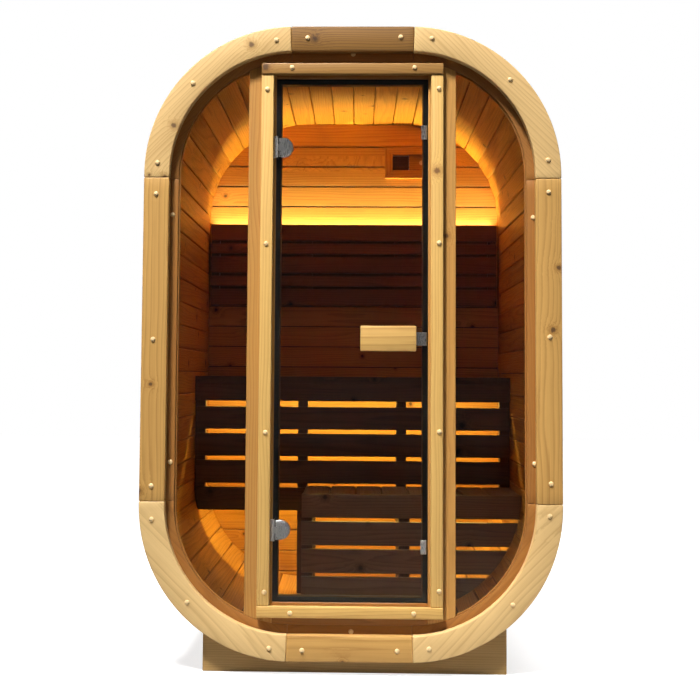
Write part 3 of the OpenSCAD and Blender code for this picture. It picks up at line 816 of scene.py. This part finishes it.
# the vent goes through the boards and one tongue
holeLeft, holeRight, holeLow, holeHigh = backBoards["hole"]
tongueRows = []
for z in joints[1:-1]:
    for xs in [(-1.0, holeLeft), (holeRight, 1.0)] if holeLow < z < holeHigh else [wallToWall]:
        tongueRows.append(boardRow(xs, tongue["backY"], around(z, tongue["wide"] / 2), 0, gap=0.0))
corners = [(x, y, z) for x in (holeLeft, holeRight) for y in backBoards["holeY"] for z in (holeLow, holeHigh)]
boxFaces = [(0, 1, 3, 2), (4, 6, 7, 5), (0, 4, 5, 1), (2, 3, 7, 6), (0, 2, 6, 4), (1, 5, 7, 3)]
ventHole = addHelper("ventHole", newMesh("ventHole", corners, boxFaces))
inRoom("backTongues", tongueRows, tallBoard, jointWood, tongue["backSeed"], "cedar_staves")
inRoom("backWall", backRows, groovedBoard, cedarStaves, backBoards["seed"], "cedar_staves", ["back_wall"], sharp=20,
       cutter=ventHole)
print("shell built")

# front frame, door frame and casing

pane = {"y": (-0.6314, -0.6226), "groove": 0.0083}
layers = [((shellFront, pane["y"][0]), 0.0), (pane["y"], pane["groove"]), ((pane["y"][1], frameBack), 0.0)]
frontFrame = {"gap": 0.0004, "seed": 41}
frameRows = []
for ys, groove in layers:
    insets = (staveIn, cabin["frameIn"] - groove)
    frameRows += [dict(row, board=i) for i, row in enumerate(ringRows(ys, insets, frontFrame["gap"]))]
onOutline("frontFrame", frameRows, lipBoard, framePine, frontFrame["seed"],
          ["front_frame_arch", "front_frame_base", "front_frame_sides"])

doorFrame = {"jamb": (0.256, 0.348), "head": 1.975, "sill": 0.230, "lowEnd": 0.1, "highEnd": 2.1, "seed": 51,
             "headSeed": 55, "sillSeed": 56}
jambIn, jambOut = doorFrame["jamb"]
head, sill, lowEnd, highEnd = (doorFrame[key] for key in ("head", "sill", "lowEnd", "highEnd"))
inFrame = {"inset": cabin["frameIn"], "upright": True}
for side, name, node in ((-1, "jambLeft", "jamb_left"), (1, "jambRight", "jamb_right")):
    jambRows = [uprightRow(sorted((side * jambIn, side * (jambOut - groove))), ys, (lowEnd, highEnd), 2, board=0)
                for ys, groove in layers]
    inRoom(name, jambRows, tallBoard, jambPine, doorFrame["seed"] + side, "casing_pine", [node], **inFrame)
for name, node, zs, seed in (("frameHead", "frame_head", (head, highEnd), doorFrame["headSeed"]),
                             ("frameSill", "frame_sill", (lowEnd, sill), doorFrame["sillSeed"])):
    row = uprightRow((-jambIn, jambIn), (shellFront, frameBack), zs, 0)
    inRoom(name, [row], tallBoard, framePine, seed, "frame_pine", [node], **inFrame)

casing = {"x": (0.264, 0.305), "low": 0.220, "high": 1.985, "rail": 0.037, "post": 0.022, "railDeep": 0.026,
          "gap": 0.0005, "postSeed": 61, "headSeed": 63, "sillSeed": 64}
postY, railY = shellFront - casing["post"], shellFront - casing["railDeep"]
postRows = [boardRow(sorted(side * x for x in casing["x"]), (postY, shellFront),
                     (casing["low"] + casing["gap"], casing["high"] - casing["gap"]), 2) for side in (-1, 1)]
inRoom("casingPosts", postRows, softBoard, casingPine, casing["postSeed"], "casing_pine", ["casing_posts"])
for name, node, z, wood, seed in (
        ("casingHead", "casing_head", casing["high"], headPine, casing["headSeed"]),
        ("casingSill", "casing_sill", casing["low"] - casing["rail"], casingPine, casing["sillSeed"])):
    row = boardRow((-casing["x"][1], casing["x"][1]), (railY, shellFront), (z, z + casing["rail"]), 0)
    inRoom(name, [row], softBoard, wood, seed, "casing_pine", [node])

stop = {"wide": 0.019, "y": (-0.629, -0.602), "seed": 66}
inner = jambIn - stop["wide"]
stopRows = [boardRow(sorted((side * jambIn, side * inner)), stop["y"], (sill, head), 2) for side in (-1, 1)]
stopRows += [boardRow((-inner, inner), stop["y"], (z, z + stop["wide"]), 0) for z in (sill, head - stop["wide"])]
# the dark stop wood is painted shade in the rebate behind the door
inRoom("doorStop", stopRows, plainBoard, stopPinePaintedShade, stop["seed"], "frame_pine", ["door_stop"])

# thin strips that hold the side panes, from jamb to jamb round the outside
bead = {"y": (-0.6395, -0.6315), "inset": (0.112, 0.1175), "middle": 0.115, "turn": 1.57, "seed": 67}
turnAway = math.asin((jambOut - bendX) / (cabin["corner"] - bead["middle"]))
lead = (bendX + pathRadius * turnAway) / pathLength
beadUnit = unitBoard("beadBoard", cuts=110, roundness=0.0016, steps=2)
beadRows = [outlineRow(start + lead, start + 0.5 - lead, bead["y"], bead["inset"], bead["turn"])
            for start in (0.0, 0.5)]
onOutline("glazingBeads", beadRows, beadUnit, framePine, bead["seed"])
print("door frame built")

# benches and backrest


def stacked(top, high, pitch, count):
    # level boards from the top down
    return [(top - i * pitch - high, top - i * pitch) for i in range(count)]


bench = {"y": 0.185, "top": 0.970, "thick": 0.028, "slat": 0.020, "boards": 4, "gap": 0.008, "wallGap": 0.002,
         "seed": 71}
seatDeep = (backFace - bench["y"] + bench["gap"]) / bench["boards"]
seatRows = [boardRow(wallToWall, (bench["y"] + i * seatDeep, bench["y"] + (i + 1) * seatDeep - bench["gap"]),
                     (bench["top"] - bench["thick"], bench["top"]), 0, gap=bench["wallGap"])
            for i in range(bench["boards"])]
inRoom("benchSeat", seatRows, plainBoard, darkWood, bench["seed"], "dark_wood", ["bench_seat"])

skirt = {"apron": (0.872, 0.942), "top": 0.849, "high": 0.090, "pitch": 0.107, "count": 4, "endGap": 0.006,
         "seed": 73}
skirtY = (bench["y"], bench["y"] + bench["slat"])
skirtRows = [boardRow(wallToWall, skirtY, skirt["apron"], 0, gap=bench["wallGap"])]
skirtRows += [boardRow(wallToWall, skirtY, zs, 0, gap=skirt["endGap"])
              for zs in stacked(skirt["top"], skirt["high"], skirt["pitch"], skirt["count"])]
inRoom("benchSkirt", skirtRows, tallBoard, darkWood, skirt["seed"], "dark_wood", ["bench_skirt"])

posts = {"wide": 0.041, "y": 0.205, "top": 0.942,
         "feet": ((-0.6095, 0.438), (-0.197, 0.1), (0.197, 0.1), (0.6095, 0.438)),
         "ledgerY": 0.584, "ledgerLow": 0.882, "wallGap": 0.002, "seed": 75}
postHalf = posts["wide"] / 2
ledgerX = (-roomHalf + posts["wallGap"], roomHalf - posts["wallGap"])
postRows = [uprightRow(around(x, postHalf), (posts["y"], posts["y"] + posts["wide"]), (foot, posts["top"]), 2)
            for x, foot in posts["feet"]]
postRows.append(uprightRow(ledgerX, (posts["ledgerY"], backFace), (posts["ledgerLow"], posts["top"]), 0))
inRoom("benchPosts", postRows, tallBoard, darkWood, posts["seed"], "dark_wood", ["bench_posts"], upright=True)

step = {"left": -0.183, "y": -0.154, "top": 0.536, "thick": 0.022, "firstGap": -0.082, "pitch": 0.0992, "gap": 0.006,
        "topBoards": 8, "leastBoard": 0.03, "wallGap": 0.002, "high": 0.087, "boardPitch": 0.101, "count": 4,
        "legX": (-0.1625, 0.197), "legY": (-0.134, 0.144), "foot": 0.1, "topSeed": 77, "seed": 79, "legSeed": 81}
stepLow, stepFront = step["top"] - step["thick"], step["y"] + bench["slat"]
edges = [step["left"]] + [step["firstGap"] + i * step["pitch"] for i in range(step["topBoards"])]
edges = [x for x in edges if x < roomHalf - step["leastBoard"]] + [roomHalf - step["wallGap"]]
topRows = [boardRow((x0 + step["gap"] / 2, x1 - step["gap"] / 2), (stepFront, bench["y"]), (stepLow, step["top"]), 1,
                    gap=step["wallGap"]) for x0, x1 in zip(edges, edges[1:])]
inRoom("stepTop", topRows, plainBoard, stepWood, step["topSeed"], "dark_wood", ["step_top"])
stepRows = [boardRow((step["left"], 1.0), (step["y"], stepFront), zs, 0, gap=bench["wallGap"])
            for zs in stacked(step["top"], step["high"], step["boardPitch"], step["count"])]
inRoom("stepSkirt", stepRows, tallBoard, stepWood, step["seed"], "dark_wood", ["step_skirt"])
legRows = [uprightRow(around(x, postHalf), (y, y + posts["wide"]), (step["foot"], stepLow), 2)
           for x in step["legX"] for y in step["legY"]]
inRoom("stepPosts", legRows, tallBoard, darkWood, step["legSeed"], "dark_wood", ["step_posts"], upright=True)

backrest = {"top": 1.6305, "slats": (0.071, 0.044, 0.071, 0.044, 0.071), "gap": 0.013, "y": (0.566, 0.584),
            "end": 0.012, "rails": (-0.602, -0.197, 0.197, 0.602), "railHalf": 0.018, "railDrop": 0.028,
            "seed": 83, "railSeed": 85}
restRows, z = [], backrest["top"]
for tall in backrest["slats"]:
    restRows.append(boardRow(wallToWall, backrest["y"], (z - tall, z), 0, gap=backrest["end"]))
    z -= tall + backrest["gap"]
restLow = z + backrest["gap"]
inRoom("backrestSlats", restRows, plainBoard, restWood, backrest["seed"], "dark_wood", ["backrest_slats"])
rails, railHalf = backrest["rails"], backrest["railHalf"]
railZ = (restLow, backrest["top"] - backrest["railDrop"])
railRows = [boardRow(around(x, railHalf), (backrest["y"][1], backFace), railZ, 2) for x in rails]
inRoom("backrestRails", railRows, plainBoard, darkWood, backrest["railSeed"], "dark_wood", ["backrest_rails"])
# dark boards between the rails close the gaps and stand for the shade behind the slats (painted shade), and a shelf
# over them carries the light strip
shadeBacking = {"y": (backFace - 0.004, backFace - 0.0005), "z": (restLow + 0.004, 1.5895), "seed": 86}
shelf = {"y": (0.5845, 0.6095), "z": (1.590, 1.598), "seed": 88}
bays = [(a + railHalf, b - railHalf) for a, b in zip(rails, rails[1:])]
for name, place in (("restBacking", shadeBacking), ("stripShelf", shelf)):
    bayRows = [boardRow(bay, place["y"], place["z"], 0) for bay in bays]
    inRoom(name, bayRows, plainBoard, darkWood, place["seed"], "dark_wood")
print("benches built")

# light strips, cradles, handle and small pieces

strips = {"size": 0.010, "half": 0.608, "places": ((0.600, 1.6025), (0.246, 0.932)), "seed": 87}
stripRows = [boardRow((-strips["half"], strips["half"]), (y, y + strips["size"]), (z, z + strips["size"]), 0)
             for y, z in strips["places"]]
inRoom("lightStrips", stripRows, plainBoard, warmLight, strips["seed"], "warm_light", ["light_strips"])

cradle = {"x": (-0.484, 0.516), "ys": ((-0.631, -0.571), (0.579, 0.639)), "z": (0.0, 1.0), "seed": 89}
cradleUnit = unitBoard("cradleBoard", cuts=40, roundness=0.002)
cradleRows = [uprightRow(cradle["x"], ys, cradle["z"], 0) for ys in cradle["ys"]]
# the pale cradle wood is painted light on the cradles
inRoom("cradleBeams", cradleRows, cradleUnit, cradlePinePaintedLight, cradle["seed"], "cradle_pine", ["cradles"],
       inset=cabin["staveOut"], upright=True, below=True)

handle = {"x": (0.031, 0.215), "y": (-0.689, -0.645), "z": (1.0565, 1.1395), "seed": 91}
handleUnit = unitBoard("handleBoard", roundness=0.0024, steps=2)
inRoom("doorHandle", [boardRow(handle["x"], handle["y"], handle["z"], 0)], handleUnit, handleWood, handle["seed"],
       "handle_wood", ["door_handle"], body="door")

covers = {"radius": 0.0082, "rise": 0.0046, "sunk": -0.003, "seed": 93,
          "ring": [(-0.151, 2.105), (0.161, 2.108), (-0.256, 2.098), (-0.535, 1.951), (-0.650, 1.682), (0.266, 2.104),
                   (0.526, 1.964), (0.651, 1.694), (-0.653, 1.577), (-0.656, 1.091), (-0.654, 0.609), (0.652, 1.586),
                   (0.654, 1.106), (0.656, 0.626), (-0.652, 0.500), (-0.531, 0.232), (-0.262, 0.088), (-0.154, 0.082),
                   (0.155, 0.083), (0.259, 0.091), (0.530, 0.235), (0.651, 0.522)],
          "post": [(-0.285, 1.934), (-0.285, 1.412), (-0.281, 0.786), (-0.280, 0.266), (0.290, 1.937), (0.291, 1.417),
                   (0.293, 0.792), (0.292, 0.274)],
          "rail": [(-0.203, 2.007), (0.208, 2.007), (-0.195, 0.199), (0.209, 0.202)],
          "frame": [(-0.602, 1.511), (-0.598, 0.685), (0.605, 1.506), (0.607, 0.688), (0.002, 2.059), (0.005, 0.137)]}
r, h = covers["radius"], covers["rise"]
coverUnit = turnedUnit("coverUnit", [(r * 0.96, covers["sunk"]), (r, 0.0), (r * 0.94, h * 0.45), (r * 0.7, h * 0.85),
                                     (r * 0.3, h)])
coverY = {"ring": cabin["front"], "post": postY, "rail": railY, "frame": shellFront}
scatter("screwCovers", [(x, y, z) for key, y in coverY.items() for x, z in covers[key]], coverUnit, coverWood,
        covers["seed"], "cabin")
print("small pieces built")

# hinges, plates and vent

hinge = {"zs": (0.465, 1.740), "axis": (-0.255, -0.657), "barrel": 0.0065, "half": 0.0355, "third": 0.02327,
         "edge": 0.0008, "pin": 0.003, "pinHalf": 0.0352, "pinEdge": 0.0006, "bore": 0.0033,
         "leaf": (-0.264, -0.256), "leafT": 0.003, "leafBevel": 0.0007, "webBevel": 0.0004,
         "armX": 0.0045, "armY": (-0.6545, -0.6485), "armBevel": 0.0005,
         "plateX": -0.246, "innerX": -0.237, "discX": -0.231, "disc": 0.032, "plateT": 0.005, "plateBevel": 0.0012,
         "glass": (-0.645, -0.637), "arcSteps": 32,
         "coverX": (-0.246, -0.2125), "coverHalf": 0.027, "coverY": (-0.6516, -0.6499), "coverBevel": 0.0006}
brackets, plates = startShape(), startShape()
axisX, axisY = hinge["axis"]
r, third, edge, disc = hinge["barrel"], hinge["third"], hinge["edge"], hinge["disc"]
leafY = shellFront - hinge["leafT"]
outerGlass, innerGlass = hinge["glass"]
for z in hinge["zs"]:
    low, high = around(z, hinge["half"])
    plate(brackets, rectangle(*hinge["leaf"], low, high), (leafY, shellFront), hinge["leafBevel"])
    for z0 in (low, high - third):
        lathe(brackets, (axisX, axisY, z0), rod(r, 0, third, edge))
        web = rectangle(axisX - r, hinge["leaf"][1], z0 + edge, z0 + third - edge)
        plate(brackets, web, (axisY, leafY), hinge["webBevel"])
    lathe(brackets, (axisX, axisY, z), rod(hinge["pin"], -hinge["pinHalf"], hinge["pinHalf"], hinge["pinEdge"]))
    m = third / 2
    knuckle = [(hinge["bore"], -m), *rod(r, -m, m, edge), (hinge["bore"], m)]
    lathe(plates, (axisX, axisY, z), knuckle, closed=True)
    arm = rectangle(axisX + hinge["armX"], hinge["plateX"] + r, z - m + edge, z + m - edge)
    plate(plates, arm, hinge["armY"], hinge["armBevel"])
    angles = [math.pi * (k / hinge["arcSteps"] - 0.5) for k in range(hinge["arcSteps"] + 1)]
    arc = [(hinge["discX"] + disc * math.cos(a), z + disc * math.sin(a)) for a in angles]
    for x, ys, bevel in (
            (hinge["plateX"], (outerGlass - hinge["plateT"], outerGlass), hinge["plateBevel"]),
            (hinge["innerX"], (innerGlass + hinge["plateT"], innerGlass), -hinge["plateBevel"])):
        plate(plates, [(x, z - disc)] + arc + [(x, z + disc)], ys, bevel)
    plate(plates, rectangle(*hinge["coverX"], *around(z, hinge["coverHalf"])), hinge["coverY"], hinge["coverBevel"])
keepShape("hingeBrackets", brackets, hingeSteel, "cabin", ["hinge_brackets"])
keepShape("hingePlates", plates, hingeSteel, "door", ["hinge_plates"])

latch = {"x": (0.215, 0.251), "z": 1.098, "half": 0.0215, "y": (-0.650, -0.645), "bevel": 0.0008,
         "catchX": (0.232, 0.251), "catches": (0.413, 1.792), "catchHalf": 0.023, "catchBevel": 0.0012}
plates = startShape()
plate(plates, rectangle(*latch["x"], *around(latch["z"], latch["half"])), latch["y"], latch["bevel"])
for z in latch["catches"]:
    plate(plates, rectangle(*latch["catchX"], *around(z, latch["catchHalf"])), latch["y"], latch["catchBevel"])
keepShape("doorPlates", plates, hingeSteel, "door", ["door_plates"])

screw = {"radius": 0.0032, "rise": 0.0012, "sunk": -0.0006, "sides": 12, "seed": 95, "leaf": (-0.2605, -0.650),
         "cover": (-0.2285, -0.6516), "coverStep": 0.016, "catch": (0.2415, -0.650), "catchStep": 0.012,
         "latch": (0.233, -0.650)}
r, h = screw["radius"], screw["rise"]
screwUnit = turnedUnit("screwUnit", [(r, screw["sunk"]), (r, h * 0.3), (r * 0.8, h), (r * 0.48, h),
                                     (r * 0.4, h * 0.2), (r * 0.1, h * 0.2)], screw["sides"])
leafScrews = [(*screw["leaf"], z) for z in hinge["zs"]]
doorScrews = [(*screw["cover"], end) for z in hinge["zs"] for end in around(z, screw["coverStep"])]
doorScrews += [(*screw["catch"], end) for z in latch["catches"] for end in around(z, screw["catchStep"])]
doorScrews += [(*screw["latch"], latch["z"])]
for name, places, body in (("hingeScrews", leafScrews, "cabin"), ("doorScrews", doorScrews, "door")):
    scatter(name, places, screwUnit, hingeSteel, screw["seed"], body)

vent = {"outer": (0.136, 0.376, 1.840, 1.976), "frontY": (0.586, 0.5985), "inner": (0.170, 0.342, 1.874, 1.942),
        "backY": (0.5985, 0.610), "channel": (0.1612, 0.3508, 1.8652, 1.9508), "bevel": 0.0012, "backBevel": 0.0001,
        "slider": (0.242, 0.350, 1.866, 1.950), "sliderY": (0.5996, 0.6096), "sliderBevel": 0.001,
        "knob": (0.296, 1.908), "knobShape": [(0.0075, -0.001), (0.0065, 0.004), (0.0075, 0.0075), (0.010, 0.0095),
                                              (0.010, 0.012), (0.0085, 0.0138), (0.004, 0.014)]}


def mitred(outer, inner):
    # the four sides of a frame; the second value says whether the grain stands upright
    out, into = rectangle(*outer), rectangle(*inner)
    return [([out[i], out[(i + 1) % 4], into[(i + 1) % 4], into[i]], i % 2) for i in range(4)]


shape = startShape()
for opening, ys, bevel in ((vent["inner"], vent["frontY"], vent["bevel"]),
                           (vent["channel"], vent["backY"], vent["backBevel"])):
    for i, (outline, axis) in enumerate(mitred(vent["outer"], opening)):
        plate(shape, outline, ys, bevel, axis, shift=0.7 * i, tone=0.3 + 0.1 * i)
keepShape("ventFrame", shape, cedarStaves, "cabin", ["vent_frame"])
shape = startShape()
plate(shape, rectangle(*vent["slider"]), vent["sliderY"], vent["sliderBevel"], shift=0.4, tone=0.6)
keepShape("ventSlider", shape, cedarStaves, "vent_slide", ["vent_slider"])
shape = startShape()
lathe(shape, (vent["knob"][0], vent["sliderY"][0], vent["knob"][1]), vent["knobShape"], upright=False)
# the knob takes the pale cover wood so that it reads bright against the slider: painted highlight for the light on
# its rim
keepShape("ventKnob", shape, coverWood, "vent_slide")
louvre = {"count": 5, "first": 1.8995, "pitch": 0.0105, "y": (0.618, 0.648), "drop": 0.0215, "thick": 0.0032,
          "ease": 0.0003}
shape = startShape()
(y0, y1), thick = louvre["y"], louvre["thick"]
for i in range(louvre["count"]):
    z0 = louvre["first"] + i * louvre["pitch"]
    z1 = z0 - louvre["drop"]
    ends = [[(x, y0, z0), (x, y0, z0 - thick), (x, y1, z1 - thick), (x, y1, z1)]
            for x in (holeLeft + louvre["ease"], holeRight - louvre["ease"])]
    skin(shape, ends, shift=0.3 * i, tone=0.2 + 0.15 * i)
keepShape("ventLouvre", shape, restWood, "cabin")
print("hinges, plates and vent built")

# CAD pieces that stay, with finished materials
for node, material in (("door_glass", clearGlass), ("side_glass", clearGlass), ("door_seal", sealRubber)):
    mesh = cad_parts[node].data
    mesh.materials.clear()
    mesh.materials.append(material)

for helper in helpers:
    bpy.data.objects.remove(helper)

# stage, lamps and camera

stage = {"half": 14.0, "grey": 0.4, "nearGlow": 0.76, "farGlow": 1.0, "glowFrom": 1.2, "glowTo": 2.4,
         "frontEdge": -4.8, "mirrored": 0.45, "mirrorGreen": 0.86, "mirrorBlue": 0.7}
half = stage["half"]
mesh = newMesh("floor", [(-half, -half, 0), (half, -half, 0), (half, half, 0), (-half, half, 0)], [(0, 1, 2, 3)])
floor = addObject("studioFloor", mesh)


def seenAsBackground(y, edge):
    # straight everywhere, in gloss and through glass only behind the front
    path = add("ShaderNodeLightPath").outputs
    seen = larger(path["Is Glossy Ray"], path["Is Transmission Ray"])
    seen = times(seen, calc("GREATER_THAN", y, edge))
    return larger(seen, path["Is Camera Ray"])


material, surface = startMaterial("studioFloor")
material.node_tree.nodes.remove(surface)
place = objectPlace()
y = splitXyz(place)[1]
# the panes mirror only the near floor, and little of it lights the room
path = add("ShaderNodeLightPath").outputs
hidden = times(path["Is Glossy Ray"], path["Is Singular Ray"])
hidden = larger(hidden, path["Is Transmission Ray"])
mirrored = times(calc("GREATER_THAN", y, stage["frontEdge"]), stage["mirrored"])
grey = times(between(1.0, mirrored, hidden), stage["grey"])
tint = joinXyz(1.0, between(1.0, stage["mirrorGreen"], hidden), between(1.0, stage["mirrorBlue"], hidden))
matt = add("ShaderNodeBsdfDiffuse", {"Color": vectorCalc("SCALE", tint, grey)})
far = remap(vectorCalc("LENGTH", place), stage["glowFrom"], stage["glowTo"], stage["nearGlow"],
            stage["farGlow"])
strength = times(seenAsBackground(y, cabin["front"]), far)
glow = add("ShaderNodeEmission", {"Color": (1, 1, 1, 1), "Strength": strength})
both = add("ShaderNodeAddShader", {0: matt.outputs[0], 1: glow.outputs[0]})
setSurface(material, both)
mesh.materials.append(material)

studio = {"ambient": 0.45, "cameraSide": 0.02, "from": -0.2, "to": 0.4}
world = bpy.data.worlds.new("studio")
scene.world = world
world.use_nodes = True
current["tree"] = world.node_tree
y = splitXyz(add("ShaderNodeTexCoord").outputs["Generated"])[1]
behind = remap(y, studio["from"], studio["to"], studio["cameraSide"], studio["ambient"])
plugAll(world.node_tree.nodes["Background"], {
    "Color": (1, 1, 1, 1), "Strength": between(behind, 1.0, seenAsBackground(y, 0.0))})


def lamp(name, place, aim, size, energy, color=(1, 1, 1), spread=180):
    data = bpy.data.lights.new(name, "AREA")
    data.shape = "RECTANGLE"
    data.size, data.size_y = size
    data.energy = energy
    data.spread = math.radians(spread)
    data.color = color
    made = addObject(name, data)
    made.location = place
    made.rotation_euler = (Vector(aim) - Vector(place)).to_track_quat("-Z", "Y").to_euler()


warm, pale = (1.0, 0.78, 0.16), (1.0, 0.95, 0.58)
lamp("keySoftbox", (-2.0, -4.25, 9.0), (0, -0.65, 1.2), (1.4, 1.4), 80, spread=34)
lamp("fillSoftbox", (3.6, -4.2, 3.0), (0, -0.6, 1.0), (2.2, 1.8), 16)
lamp("backSoftbox", (1.6, 4.6, 6.4), (0, 0.65, 1.1), (1.8, 1.8), 42, spread=50)
lamp("restGlow", (0, 0.602, 1.615), (0, 0.602, 2.2), (1.2, 0.008), 12.5, warm, spread=120)
lamp("restWash", (0, 0.584, 1.634), (0, 0.612, 1.658), (1.2, 0.006), 30, pale, spread=92)
lamp("seatGlow", (0, 0.27, 0.925), (0, 0.45, 0.2), (1.16, 0.02), 14.5, warm)
lamp("stepGlow", (0.2, 0.0, 0.50), (0.2, 0.0, 0.1), (0.66, 0.2), 3.4, warm)

# fitted to the ring's outline and the staves' vanishing point
view = {"place": (0.0272, -4.681, 0.9743), "focal": 1211.6, "pitch": 0.0624, "yaw": -0.0236, "roll": -0.0067,
        "centre": (330.9, 300.0), "image": 700, "sensor": 36}
camera = addObject("camera", bpy.data.cameras.new("camera"))
sinY, cosY = math.sin(view["yaw"]), math.cos(view["yaw"])
sinP, cosP = math.sin(view["pitch"]), math.cos(view["pitch"])
sinR, cosR = math.sin(view["roll"]), math.cos(view["roll"])
flatRight = Vector((cosY, -sinY, 0))
flatUp = Vector((-sinP * sinY, -sinP * cosY, cosP))
right = cosR * flatRight - sinR * flatUp
up = sinR * flatRight + cosR * flatUp
turn = Matrix((right, up, right.cross(up))).transposed().to_4x4()
camera.matrix_world = Matrix.Translation(view["place"]) @ turn
camera.data.sensor_width = view["sensor"]
camera.data.lens = view["focal"] / view["image"] * view["sensor"]
camera.data.shift_x = (view["image"] / 2 - view["centre"][0]) / view["image"]
camera.data.shift_y = (view["centre"][1] - view["image"] / 2) / view["image"]
scene.camera = camera
scene.view_settings.view_transform = "Standard"
print("stage built")
